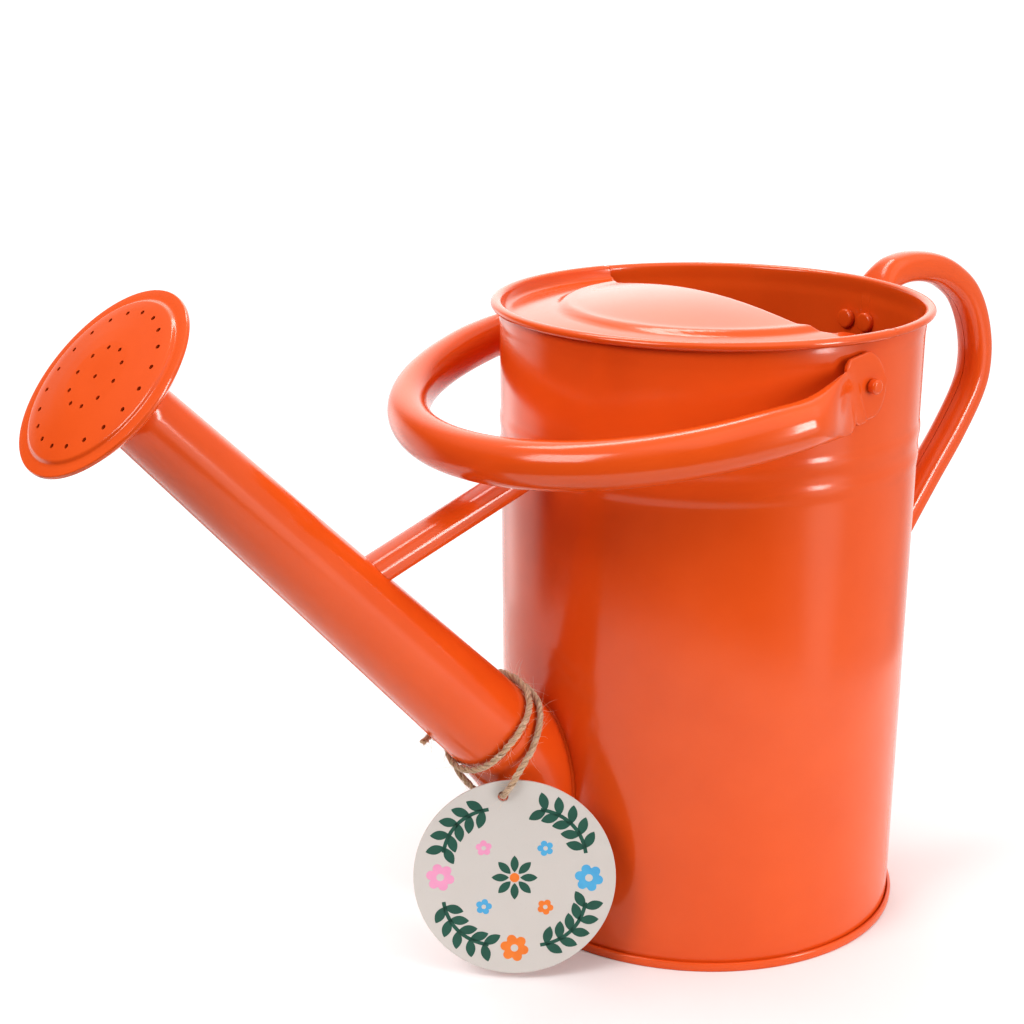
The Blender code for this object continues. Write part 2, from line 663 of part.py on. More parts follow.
def build_rear_handle(paint):
    """The fixed back handle: a rolled tube whose ends are pressed into flat riveted tabs."""
    path = curve_through(handle_path(), 2)
    rings = []
    for i, centre in enumerate(path):
        before = path[max(i - 1, 0)]
        after = path[min(i + 1, len(path) - 1)]
        heading = (after - before).normalized()
        across = Vector((-heading.z, 0, heading.x))
        from_wall = centre.x - BODY_X - wall_radius(centre.z)
        swell = smooth_step((from_wall - HANDLE_SWELL_START) / HANDLE_SWELL_RUN)
        thick = TAB_HALF_THICKNESS + (HANDLE_HALF_THICKNESS - TAB_HALF_THICKNESS) * swell
        wide = TAB_HALF_WIDTH + (HANDLE_HALF_WIDTH - TAB_HALF_WIDTH) * swell
        rings.append(rolled_section(centre, across, NEAR_SIDE, thick, wide, math.pi))
    handle = add_object("rear_handle", skin("rear_handle", rings, cap="strip"), paint, 50)
    cut(handle, rods("rear_handle_holes", handle_rivet_lines(), HANDLE_HOLE_RADIUS, 10))


# ---------------------------------------------------------------- twine and tag

def tag_frame():
    """The tag's upward, outward and rightward directions."""
    level = Vector((math.cos(TAG_FACING), math.sin(TAG_FACING), 0))
    up = Vector((0, 0, math.cos(TAG_LEAN))) - level * math.sin(TAG_LEAN)
    out = level * math.cos(TAG_LEAN) + Vector((0, 0, math.sin(TAG_LEAN)))
    return up, out, up.cross(out)


def tag_hole():
    up, _, right = tag_frame()
    return TAG_CENTRE + up * TAG_HOLE_UP - right * TAG_HOLE_LEFT


def build_tag(card):
    up, out, right = tag_frame()
    placing = Matrix.Translation(TAG_CENTRE) @ Matrix((right, up, out)).transposed().to_4x4()
    half = TAG_THICKNESS / 2
    outline = [(0, half), (TAG_RADIUS, half), (TAG_RADIUS, -half), (0, -half)]
    tag = add_object("tag", lathe("tag", outline, 48, placing), card)
    hole = tag_hole()
    cut(tag, rods("tag_hole", [(hole - out * 4 * MM, hole + out * 4 * MM)], TAG_HOLE_RADIUS, 16))
    set_pivot(tag, hole)


def twine_route():
    """The twine's centre line: a tail, two turns round the spout, down through the tag
    and back up to its other end under the spout.
    """
    turns = [
        (56, 194, 4.2), (52, 206, 2.6), (47.5, 228, 1.9), (45.5, 255, 1.85), (45, 290, 1.85),
        (45, 325, 1.85), (44, 350, 1.85), (42.2, 370, 1.85), (40.6, 392, 1.85), (40.6, 415, 1.85),
        (41.2, 440, 1.85), (41.2, 465, 1.85), (39.9, 488, 1.85), (38.8, 510, 1.85), (38.4, 532, 1.85),
        (38.2, 556, 1.85), (38.2, 585, 1.85), (38.6, 615, 1.85), (39.4, 650, 1.85), (39.9, 690, 1.85),
        (39.2, 712, 1.85), (36.6, 730, 1.9), (33.8, 748, 1.95), (33.4, 770, 1.95), (32.5, 792, 2.0),
        (30.9, 814, 2.2)]
    route = []
    for along, turn, stand_off in turns:
        radius = spout_radius(along * MM) + stand_off * MM
        route.append(on_spout(along * MM, turn, radius))
    up, out, right = tag_frame()
    hole = tag_hole()
    by_tag = [
        (1.4, 11.0, 6.6), (2.7, 6.8, 4.1), (2.8, 3.4, 1.9), (1.7, 1.0, 0.4), (0, 0, 0), (-1.9, 0.4, -0.5),
        (-4.2, 0.6, -1.6), (-7.4, -1.6, -3.4)]
    for forward, above, aside in by_tag:
        route.append(hole + out * forward * MM + up * above * MM + right * aside * MM)
    for along, turn, radius in ((21, 169, 24.9), (26.5, 176, 23.3), (31.5, 190, 22.2), (33.6, 208, 21.4)):
        route.append(on_spout(along * MM, turn, radius * MM))
    return route


def build_twine(jute):
    points = curve_through(twine_route(), 2)
    curve = bpy.data.curves.new("twine", "CURVE")
    curve.dimensions = "3D"
    curve.bevel_depth = TWINE_RADIUS
    curve.bevel_resolution = 2
    curve.use_fill_caps = True
    spline = curve.splines.new("POLY")
    spline.points.add(len(points) - 1)
    for slot, point in zip(spline.points, points):
        slot.co = (*point, 1.0)
    curve.materials.append(jute)
    item = bpy.data.objects.new("twine", curve)
    bpy.context.collection.objects.link(item)


# ---------------------------------------------------------------- assembly

def main():
    clear_scene()
    orange = make_material("orange_paint", (0.80, 0.095, 0.018), 0.32, 0.0)
    steel = make_material("rim_steel", (0.45, 0.45, 0.46), 0.35, 1.0)
    card = make_material("tag_card", (0.72, 0.68, 0.62), 0.8, 0.0)
    jute = make_material("jute_twine", (0.42, 0.29, 0.16), 0.9, 0.0)
    build_body_shell(orange)
    build_rim_wire(steel)
    build_base_pan(orange)
    build_top_cover(orange)
    build_spout_tube(orange)
    build_spout_elbow(orange)
    build_spout_brace(orange)
    build_rose(orange)
    build_bail_rivets(orange)
    build_handle_rivets(orange)
    build_bail(orange)
    build_rear_handle(orange)
    build_tag(card)
    build_twine(jute)


main()
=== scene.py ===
"""The looks of the painted sheet-steel watering can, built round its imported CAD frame.

Everything is in metres in the CAD's frame: +Z up, spout along -X, back handle along +X.
"""
import json
import math
import random

import bmesh
import bpy
import numpy as np
from mathutils import Matrix, Vector, noise


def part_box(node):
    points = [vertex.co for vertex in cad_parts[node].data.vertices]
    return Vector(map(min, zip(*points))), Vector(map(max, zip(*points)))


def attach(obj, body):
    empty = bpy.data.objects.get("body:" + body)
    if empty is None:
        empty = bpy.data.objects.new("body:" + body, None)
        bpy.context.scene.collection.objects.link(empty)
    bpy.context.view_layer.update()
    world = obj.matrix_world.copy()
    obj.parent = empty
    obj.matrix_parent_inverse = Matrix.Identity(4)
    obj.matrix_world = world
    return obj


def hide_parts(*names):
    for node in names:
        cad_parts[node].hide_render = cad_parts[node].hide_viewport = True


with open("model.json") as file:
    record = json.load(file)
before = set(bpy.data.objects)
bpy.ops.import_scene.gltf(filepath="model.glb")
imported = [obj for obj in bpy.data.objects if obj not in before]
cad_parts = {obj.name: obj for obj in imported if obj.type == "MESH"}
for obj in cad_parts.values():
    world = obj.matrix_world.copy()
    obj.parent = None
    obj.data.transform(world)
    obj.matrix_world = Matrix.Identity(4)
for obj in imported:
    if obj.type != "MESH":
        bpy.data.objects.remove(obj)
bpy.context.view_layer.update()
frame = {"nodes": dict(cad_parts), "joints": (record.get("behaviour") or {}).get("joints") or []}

NODES = frame["nodes"]
JOINTS = {joint["name"]: joint for joint in frame["joints"]}

MM = 0.001
TAU = math.tau

# Wall, rim and foot
PAN_LOW, PAN_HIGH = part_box("base_pan")
BODY_X = (PAN_LOW.x + PAN_HIGH.x) / 2
HEIGHT = 255 * MM
BASE_RADIUS = 82.5 * MM
TOP_RADIUS = 85.0 * MM
SHEET = 0.7 * MM
GAP = 0.35 * MM
BEAD_HEIGHTS = (196.2 * MM, 206.8 * MM)
BEAD_HALF_WIDTH = 4.2 * MM
BEAD_RISE = 0.45 * MM
BEAD_FALL = 1.4
SWELL_HEIGHT = 248 * MM
SWELL_HALF_WIDTH = 4.5 * MM
SWELL_RISE = 0.26 * MM
CURL_HALF_WIDTH = 2.1 * MM
CURL_HALF_HEIGHT = 1.6 * MM
SEAM_RADIUS = 84.3 * MM
SEAM_HEIGHT = 3.6 * MM
FLOOR_HEIGHT = 4.6 * MM
PAN_SHEET = 0.8 * MM
SIDE_SEAM_AZIMUTH = math.radians(-2.7)
SIDE_SEAM_WIDTH = 5.0 * MM
SIDE_SEAM_RISE = 0.55 * MM
SIDE_SEAM_TOP = 249 * MM
SEAM_FOLD = 0.6 * MM
RIM_ROLL_END = -112

# Spout, elbow and brace
SPOUT_PITCH = math.radians(45.87)
SPOUT_AXIS = Vector((-math.cos(SPOUT_PITCH), 0, math.sin(SPOUT_PITCH)))
SPOUT_OUT = Vector((math.sin(SPOUT_PITCH), 0, math.cos(SPOUT_PITCH)))
NEAR_SIDE = Vector((0, -1, 0))
SPOUT_ROOT = Vector((BODY_X - BASE_RADIUS - 0.7 * MM, 0, 70.3 * MM))
SPOUT_LENGTH = 244.7 * MM
SPOUT_ROOT_RADIUS = 19.85 * MM
SPOUT_TIP_RADIUS = 12.15 * MM
MITRE = 37 * MM
ELBOW_HALF_WIDTH = 17.8 * MM
ELBOW_HALF_HEIGHT = 22.8 * MM
ELBOW_DROP = 2.3 * MM
ELBOW_SWELL = 0.8 * MM
ELBOW_REACH = 70 * MM
PORT_HALF_DEPTH = 30 * MM
WELD_RADIUS = 1.0 * MM
BRACE_PITCH = math.radians(20.5)
BRACE_WALL_Z = 200.4 * MM
BRACE_HALF_WIDTH = 7.4 * MM
BRACE_HALF_HEIGHT = 5.2 * MM
BRACE_MIDDLE = 40 * MM
BRACE_REACH = 60 * MM

# Rose
ROSE_SEAT = 247.9 * MM
ROSE_SEAT_DEPTH = 12.2 * MM
ROSE_PITCH = math.radians(43.4)
ROSE_YAW = math.radians(1.1)
ROSE_RADIUS = 37.15 * MM
ROSE_HOLE_RADIUS = 0.85 * MM
ROSE_HOLE_RINGS = ((1, 0.0), (10, 11.8 * MM), (20, 26.6 * MM))
ROSE_HOLE_TURN = math.radians(-13)

# Bail, whose ends are pressed to flat paddles
BAIL_PIVOT = Vector(JOINTS["bail_swing"]["pos_m"])
BAIL_DROOP = math.radians(10.8)
BAIL_REACH = 130.1 * MM
BAIL_HALF_WIDTH = 98 * MM
BAIL_FULLNESS = 0.776
BAIL_TUBE_RADIUS = 8.5 * MM
BAIL_OVAL = 0.7 * MM
BAIL_SWELL_END = 44 * MM
BAIL_BOW_STEPS = 130
BAIL_RIVET_SPAN = (78 * MM, 95 * MM)
BAIL_HOLE_RADIUS = 2.2 * MM
PADDLE_INNER = 85.4 * MM
PADDLE_OUTER = 88.6 * MM
PADDLE_HALF_HEIGHT = 13 * MM
PADDLE_CORNER_RADIUS = 15.7 * MM
PADDLE_TAIL = 7.6 * MM
PADDLE_NECK = 6 * MM
PADDLE_STEP = 10.6 * MM
PADDLE_SHOULDER = 13.6 * MM
PADDLE_DROP = 1.9 * MM
PRESSED_HALF_HEIGHT = 12.4 * MM
FLAP_LIFT = 1.3 * MM

# Back handle
HANDLE_HALF_WIDTH = 7.6 * MM
HANDLE_HALF_THICKNESS = 6.6 * MM
TAB_HALF_WIDTH = 10 * MM
TAB_HALF_THICKNESS = 1.45 * MM
HANDLE_RIVET_SPREAD = 5.65 * MM
HANDLE_RIVET_Z = (236.5 * MM, 83 * MM)
HANDLE_RIVET_SPAN = (76 * MM, 92 * MM)
HANDLE_HOLE_RADIUS = 2.3 * MM
HANDLE_SWELL_START = 2.2 * MM
HANDLE_SWELL_RUN = 17 * MM
TAB_CORNER = 6 * MM

# Half cover
COVER_EDGE_Z = 249.3 * MM
COVER_ARC = math.radians(100)
COVER_CHORD_X = -5 * MM
COVER_BULGE = 4.5 * MM
COVER_BULGE_WIDTH = 54 * MM
COVER_BULGE_DEPTH = 50 * MM
COVER_WING_RUN = 27 * MM
COVER_WING_BACK = 19.5 * MM
COVER_HOOK_SHEET = 0.45 * MM
COVER_HOOK_AZIMUTH = math.radians(80.2)
COVER_HOOK_PRESS = 0.2 * MM

# Twine and tag
TWINE_SPACING = 0.45 * MM
PLY_PITCH = 7.0 * MM
PLY_RADIUS = 0.70 * MM
PLY_OFFSET = 0.60 * MM
TAG_RADIUS = 39.5 * MM
TAG_THICKNESS = 1.0 * MM
TAG_CENTRE = Vector((BODY_X - 114.3 * MM, -23.0 * MM, 42.5 * MM))
TAG_FACING = math.radians(233.7)
TAG_LEAN = math.radians(6.5)
TAG_HOLE = Vector(JOINTS["tag_swing"]["pos_m"])
TAG_HOLE_RADIUS = 2.1 * MM
CARD_CORNER = 0.12 * MM
INK_THICKNESS = 0.02 * MM

# Camera and stage
CAMERA_LENS = 69.63
CAMERA_PLACE = (BODY_X - 0.52803, -0.58626, 0.40161)
CAMERA_HEADING = math.radians(-36.19854)
CAMERA_PITCH = math.radians(73.25042)
CAMERA_ROLL = math.radians(0.08499)
STAGE_RADIUS = 0.40
STUDIO_DIM = 0.06
# Direction of each bright side, cosines of where it starts and is full, and its strength
STUDIO_SIDES = (
    ((0.566, 0.773, 0.0), 0.55, 0.95, 1.0),
    ((-0.22, 0.954, -0.2), 0.88, 0.985, 1.1),
    ((0.516, 0.704, 0.487), 0.78, 0.97, 0.6),
    ((0.807, -0.590, 0.0), 0.35, 0.95, 0.5),
    ((0.0, 0.0, 1.0), 0.3, 0.85, 0.6),
    ((0.425, -0.886, -0.190), 0.960, 0.996, 0.9),
)
# Name, place, size and power of each soft panel, which all aim at the can's middle
PANEL_AIM = (BODY_X, 0, 0.13)
PANELS = (
    ("key_panel", (0.47, -1.27, 0.46), (0.24, 0.66), 8.0),
    ("top_panel", (0.10, 0.56, 1.36), (0.95, 0.26), 5.2),
    ("front_panel", (0.15, -0.62, 1.15), (1.5, 1.1), 2.5),
    ("left_panel", (-0.92, -0.10, 0.85), (0.55, 0.55), 6.4),
)

# Base colours, linear: two tones that each material varies between
PAINT_TONES = ((0.730, 0.100, 0.013), (0.695, 0.091, 0.011))
STEEL_TONES = ((0.36, 0.36, 0.37), (0.52, 0.52, 0.53))
CARD_TONES = ((0.58, 0.54, 0.505), (0.55, 0.51, 0.475))
CARD_FLECK = (0.44, 0.40, 0.36)
TWINE_TONES = ((0.36, 0.21, 0.11), (0.72, 0.52, 0.34))
LOOSE_FIBRE_TONES = ((0.66, 0.45, 0.30), (0.86, 0.70, 0.55))
FLOOR_TONES = ((0.84, 0.84, 0.84), (0.86, 0.86, 0.86))
INK_TONES = {
    "leaf_ink": ((0.018, 0.098, 0.066), (0.014, 0.082, 0.056)),
    "blue_ink": ((0.090, 0.390, 0.640), (0.075, 0.340, 0.600)),
    "pink_ink": ((0.780, 0.330, 0.500), (0.740, 0.290, 0.460)),
    "orange_ink": ((0.800, 0.220, 0.030), (0.740, 0.180, 0.025)),
    "card_ink": CARD_TONES,
}


# ---------------------------------------------------------------- camera

def linked(name, data):
    """A new object that holds the data, in the scene."""
    item = bpy.data.objects.new(name, data)
    bpy.context.collection.objects.link(item)
    return item


def add_camera():
    data = bpy.data.cameras.new("camera")
    data.sensor_width = 36
    data.lens = CAMERA_LENS
    data.clip_start, data.clip_end = 0.05, 30
    item = linked("camera", data)
    turn = Matrix.Rotation(CAMERA_HEADING, 4, "Z") @ Matrix.Rotation(CAMERA_PITCH, 4, "X")
    item.matrix_world = Matrix.Translation(CAMERA_PLACE) @ turn @ Matrix.Rotation(CAMERA_ROLL, 4, "Z")
    bpy.context.scene.camera = item


# ---------------------------------------------------------------- mesh helpers

def skin(name, rings, loop=False, cap=None):
    """Join closed rings of points into one surface; cap is None, "flat" or "strip"."""
    rings = [np.array(ring, float) for ring in rings]
    count = len(rings[0])
    faces = []
    total = len(rings)
    for row in range(total if loop else total - 1):
        first, second = row * count, (row + 1) % total * count
        for i in range(count):
            j = (i + 1) % count
            faces.append((first + i, first + j, second + j, second + i))
    for start in (0, (total - 1) * count):
        if cap == "flat":
            faces.append(tuple(range(start, start + count)))
        elif cap == "strip":
            for i in range(count // 2 - 1):
                faces.append((start + i, start + i + 1, start + count - i - 2, start + count - i - 1))
    mesh = bpy.data.meshes.new(name)
    mesh.from_pydata(np.concatenate(rings).tolist(), [], faces)
    return tidied(mesh)


def mesh_from(name, bm):
    mesh = bpy.data.meshes.new(name)
    bm.to_mesh(mesh)
    bm.free()
    return mesh


def tidied(mesh):
    """Merge points that coincide and turn every face outwards."""
    bm = bmesh.new()
    bm.from_mesh(mesh)
    bmesh.ops.remove_doubles(bm, verts=bm.verts, dist=1e-7)
    bmesh.ops.dissolve_degenerate(bm, edges=bm.edges, dist=1e-8)
    bmesh.ops.recalc_face_normals(bm, faces=bm.faces)
    bm.to_mesh(mesh)
    bm.free()
    return mesh


def lathe(name, profile, steps, placing=None):
    """Turn a closed outline of (radius, height) points about the local Z axis."""
    profile = np.array(profile, float)
    rings = []
    for step in range(steps):
        angle = TAU * step / steps
        radii, heights = profile.T
        rings.append(np.stack([radii * math.cos(angle), radii * math.sin(angle), heights], 1))
    mesh = skin(name, rings, loop=True)
    mesh.transform(placing or Matrix.Translation((BODY_X, 0, 0)))
    return mesh


def piece(name, mesh, material, body, nodes=(), sharp=40):
    """One shown piece: shaded, riding on its body and standing for its CAD nodes."""
    mesh.materials.append(material)
    mesh.shade_smooth()
    mesh.set_sharp_from_angle(angle=math.radians(sharp))
    item = linked(name, mesh)
    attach(item, body)
    if nodes:
        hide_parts(*nodes)
    return item


def painted(mesh, paint, nodes=(), body="can", sharp=40):
    """A painted piece, named after its mesh."""
    return piece(mesh.name, mesh, paint, body, nodes, sharp)


def joined(name, meshes):
    """Several meshes as one mesh of separate bodies."""
    bm = bmesh.new()
    for mesh in meshes:
        bm.from_mesh(mesh)
    return mesh_from(name, bm)


def cut(item, cutter_mesh, sharp=40):
    """Subtract a mesh from a piece, and keep only the result."""
    cutter = linked("cutter", cutter_mesh)
    modifier = item.modifiers.new("openings", "BOOLEAN")
    modifier.operation = "DIFFERENCE"
    modifier.solver = "EXACT"
    modifier.object = cutter
    bpy.context.view_layer.update()
    evaluated = item.evaluated_get(bpy.context.evaluated_depsgraph_get())
    mesh = bpy.data.meshes.new_from_object(evaluated)
    item.modifiers.clear()
    bpy.data.objects.remove(cutter)
    item.data = mesh
    mesh.shade_smooth()
    mesh.set_sharp_from_angle(angle=math.radians(sharp))


def rods(name, ends, radius, sides):
    """Straight rods between pairs of points, to cut holes with."""
    bm = bmesh.new()
    for start, stop in ends:
        placing = axis_placing((start + stop) / 2, (stop - start).normalized())
        bmesh.ops.create_cone(
            bm, cap_ends=True, segments=sides, radius1=radius, radius2=radius,
            depth=(stop - start).length, matrix=placing)
    return mesh_from(name, bm)


def axis_placing(origin, direction):
    turn = Vector((0, 0, 1)).rotation_difference(direction)
    return Matrix.Translation(origin) @ turn.to_matrix().to_4x4()


def in_mm(points):
    return [(a * MM, b * MM) for a, b in points]


def smooth_step(value):
    value = min(max(value, 0.0), 1.0)
    return value * value * (3 - 2 * value)


def ramp(distance, start, run):
    """0 up to the start, 1 once the run is over, and smooth between."""
    return smooth_step((distance - start) / run)


def squared_off(value, share):
    """A sine or cosine raised to a power below 1, which turns an ellipse into a rounder box."""
    return math.copysign(abs(value) ** share, value)


def lengths_along(spots):
    """How far along the line each of its points is."""
    steps = np.linalg.norm(np.diff(spots, axis=0), axis=1)
    return np.concatenate([[0], np.cumsum(steps)])


def rim_arc(inset, stop, steps):
    """Points round the flattened roll of the rim, from the wall's side over its top to an angle."""
    middle = TOP_RADIUS - SHEET + CURL_HALF_WIDTH
    points = []
    for step in range(steps + 1):
        angle = math.radians(180 + (stop - 180) * step / steps)
        height = HEIGHT - CURL_HALF_HEIGHT + (CURL_HALF_HEIGHT - inset) * math.sin(angle)
        points.append((middle + (CURL_HALF_WIDTH - inset) * math.cos(angle), height))
    return points


def rounded(profile, radius, steps=3):
    """A closed outline with each corner rounded by up to the given radius."""
    result = []
    count = len(profile)
    for i, corner in enumerate(profile):
        here = Vector(corner)
        to_before = Vector(profile[i - 1]) - here
        to_after = Vector(profile[(i + 1) % count]) - here
        if here.x < 1e-7 or min(to_before.length, to_after.length) < 1e-7:
            result.append(tuple(here))
            continue
        reach = min(radius, to_before.length * 0.45, to_after.length * 0.45)
        first = here + to_before.normalized() * reach
        last = here + to_after.normalized() * reach
        for step in range(steps + 1):
            t = step / steps
            result.append(tuple(first * (1 - t) ** 2 + here * 2 * t * (1 - t) + last * t * t))
    return result


def curve_through(points, per_span):
    """Points on a centripetal Catmull-Rom curve through the given points."""
    padded = [points[0] * 2 - points[1], *points, points[-1] * 2 - points[-2]]
    result = [points[0].copy()]
    for p0, p1, p2, p3 in zip(padded, padded[1:], padded[2:], padded[3:]):
        t1 = (p1 - p0).length ** 0.5
        t2 = t1 + (p2 - p1).length ** 0.5
        t3 = t2 + (p3 - p2).length ** 0.5
        for step in range(1, per_span + 1):
            t = t1 + (t2 - t1) * step / per_span
            a1 = p0.lerp(p1, t / t1)
            a2 = p1.lerp(p2, (t - t1) / (t2 - t1))
            a3 = p2.lerp(p3, (t - t2) / (t3 - t2))
            b1 = a1.lerp(a2, t / t2)
            b2 = a2.lerp(a3, (t - t1) / (t3 - t1))
            result.append(b1.lerp(b2, (t - t1) / (t2 - t1)))
    return result


def travel(point, direction, clearance, reach):
    """Slide a point along a direction until its clearance falls to nothing."""
    near, far = 0.0, reach
    for _ in range(36):
        middle = (near + far) / 2
        if clearance(point + direction * middle) > 0:
            near = middle
        else:
            far = middle
    return point + direction * near


# ---------------------------------------------------------------- materials

def set_inputs(node, inputs):
    """Link or set each of a node's inputs."""
    for key, value in inputs.items():
        if isinstance(value, bpy.types.NodeSocket):
            node.id_data.links.new(value, node.inputs[key])
        else:
            node.inputs[key].default_value = value


def add_node(tree, kind, inputs=None, **settings):
    node = tree.nodes.new(kind)
    for key, value in settings.items():
        setattr(node, key, value)
    set_inputs(node, inputs or {})
    return node


def new_material(name):
    material = bpy.data.materials.new(name)
    material.use_nodes = True
    tree = material.node_tree
    shader = tree.nodes["Principled BSDF"]
    place = add_node(tree, "ShaderNodeTexCoord").outputs["Object"]
    return material, tree, shader, place


def noise_node(tree, place, scale, detail=2.0, roughness=0.5):
    inputs = {"Vector": place, "Scale": scale, "Detail": detail, "Roughness": roughness}
    return add_node(tree, "ShaderNodeTexNoise", inputs).outputs["Fac"]


def remap(tree, value, low, high, to_low, to_high, curve="LINEAR"):
    inputs = {"Value": value, "From Min": low, "From Max": high, "To Min": to_low, "To Max": to_high}
    return add_node(tree, "ShaderNodeMapRange", inputs, interpolation_type=curve).outputs["Result"]


def stretch(tree, place, scale):
    return add_node(tree, "ShaderNodeMapping", {"Vector": place, "Scale": scale}).outputs["Vector"]


def blend_colours(tree, factor, tones):
    """A mix of two tones, each a linear colour or another socket."""
    first, second = [tone if isinstance(tone, bpy.types.NodeSocket) else (*tone, 1.0) for tone in tones]
    inputs = {0: factor, 6: first, 7: second}
    return add_node(tree, "ShaderNodeMix", inputs, data_type="RGBA").outputs[2]


def bump(tree, height, distance, strength=1.0, normal=None):
    inputs = {"Height": height, "Distance": distance, "Strength": strength}
    if normal is not None:
        inputs["Normal"] = normal
    return add_node(tree, "ShaderNodeBump", inputs).outputs["Normal"]


def orange_paint():
    """Semi-gloss stoved paint: faint orange peel over sheet that is a little uneven."""
    material, tree, shader, place = new_material("orange_paint")
    tone = remap(tree, noise_node(tree, place, 38, 3), 0.3, 0.7, 0, 1)
    peel = bump(tree, noise_node(tree, place, 500, 1), 0.00001, 0.25)
    set_inputs(shader, {
        "Base Color": blend_colours(tree, tone, PAINT_TONES),
        "Roughness": remap(tree, noise_node(tree, place, 60, 3), 0.3, 0.7, 0.15, 0.19),
        "Normal": bump(tree, noise_node(tree, place, 22, 0), 0.0002, 0.12, peel),
        "IOR": 1.5})
    return material


def bare_steel():
    """Drawn wire, streaked along its length."""
    material, tree, shader, place = new_material("rim_steel")
    tone = noise_node(tree, stretch(tree, place, (60, 60, 1500)), 1, 3)
    set_inputs(shader, {
        "Base Color": blend_colours(tree, tone, STEEL_TONES),
        "Roughness": remap(tree, tone, 0, 1, 0.28, 0.45),
        "Metallic": 1.0})
    return material


def card_stock():
    """Uncoated board with a fine fibrous tooth."""
    material, tree, shader, place = new_material("tag_card")
    fibres = noise_node(tree, place, 900, 5, 0.65)
    cloud = noise_node(tree, place, 60, 2)
    tone = blend_colours(tree, cloud, CARD_TONES)
    flecks = remap(tree, fibres, 0.62, 0.75, 0, 0.35)
    set_inputs(shader, {
        "Base Color": blend_colours(tree, flecks, (tone, CARD_FLECK)),
        "Normal": bump(tree, fibres, 0.00004, 0.6),
        "Roughness": remap(tree, cloud, 0.2, 0.8, 0.62, 0.74)})
    return material


def printing_ink(name, tones):
    """Matt ink that the card's tooth shows through."""
    material, tree, shader, place = new_material(name)
    tooth = noise_node(tree, place, 900, 5, 0.65)
    tone = remap(tree, noise_node(tree, place, 140, 3), 0.3, 0.7, 0, 1)
    set_inputs(shader, {
        "Base Color": blend_colours(tree, tone, tones),
        "Normal": bump(tree, tooth, 0.00003, 0.5),
        "Roughness": remap(tree, tooth, 0.3, 0.7, 0.5, 0.62)})
    return material


def jute(name, tones):
    """Dry bast fibre: streaked along each ply, and slightly shiny where fibres lie together."""
    material, tree, shader, _ = new_material(name)
    along = add_node(tree, "ShaderNodeUVMap").outputs["UV"]
    strands = noise_node(tree, stretch(tree, along, (1.0, 26.0, 1.0)), 2.2, 4, 0.6)
    tone = remap(tree, strands, 0.32, 0.68, 0, 1)
    set_inputs(shader, {
        "Base Color": blend_colours(tree, tone, tones),
        "Normal": bump(tree, strands, 0.00018, 0.9),
        "Roughness": remap(tree, strands, 0, 1, 0.72, 0.9),
        "Sheen Weight": 0.25})
    return material


def floor_paint():
    material, tree, shader, place = new_material("studio_floor")
    tone = noise_node(tree, place, 3, 2)
    set_inputs(shader, {"Base Color": blend_colours(tree, tone, FLOOR_TONES), "Roughness": 0.85})
    return material


# ---------------------------------------------------------------- body

def wall_radius(z):
    return BASE_RADIUS + (TOP_RADIUS - BASE_RADIUS) * z / HEIGHT


def bulge(z, middle, half_width, rise):
    near = min(abs(z - middle) / half_width, 1.0)
    return rise * (0.5 + 0.5 * math.cos(math.pi * near))


def bead_lift(z):
    """The two swage beads, softer on their lower sides, and the slight swell under the rolled rim."""
    lift = bulge(z, SWELL_HEIGHT, SWELL_HALF_WIDTH, SWELL_RISE)
    for bead in BEAD_HEIGHTS:
        half_width = BEAD_HALF_WIDTH if z > bead else BEAD_HALF_WIDTH * BEAD_FALL
        lift = max(lift, bulge(z, bead, half_width, BEAD_RISE))
    return lift


def wall_clearance(point):
    face = wall_radius(point.z) + bead_lift(point.z)
    return math.hypot(point.x - BODY_X, point.y) - face - GAP


def wall_heights():
    heights = list(np.linspace(1.6, 190, 26)) + list(np.linspace(191.6, 211.4, 45))
    heights += list(np.linspace(214, 242, 7)) + list(np.linspace(243.3, 252.4, 20))
    return [z * MM for z in heights]


def seam_lift(azimuth, z):
    """The folded lock seam down the back of the wall, which ends below the rim."""
    off = abs((azimuth - SIDE_SEAM_AZIMUTH + math.pi) % TAU - math.pi) * TOP_RADIUS
    across = smooth_step((SIDE_SEAM_WIDTH / 2 - off) / SEAM_FOLD + 0.5)
    return SIDE_SEAM_RISE * across * smooth_step((SIDE_SEAM_TOP - z) / (3 * MM))


def rim_is_hooked(azimuth):
    """1 where the cover's flange is hooked over the rim, which is then pressed a little smaller."""
    off = abs((azimuth + math.pi) % TAU - math.pi)
    return 1.0 if off > COVER_HOOK_AZIMUTH else 0.0


def wall_azimuths():
    """Even steps round the wall, with closer ones at the seam's edges and where the hook begins."""
    angles = [TAU * step / 240 for step in range(240)]
    for side in (-1, 1):
        middle = SIDE_SEAM_AZIMUTH + side * SIDE_SEAM_WIDTH / 2 / TOP_RADIUS
        angles += [middle + offset / TOP_RADIUS for offset in np.linspace(-SEAM_FOLD, SEAM_FOLD, 7)]
        angles += [side * COVER_HOOK_AZIMUTH + step for step in (-0.002, 0.002)]
    angles = sorted(set(round(angle % TAU, 5) for angle in angles))
    kept = [angles[0]]
    for angle in angles[1:]:
        if angle - kept[-1] > 0.0015:
            kept.append(angle)
    return kept


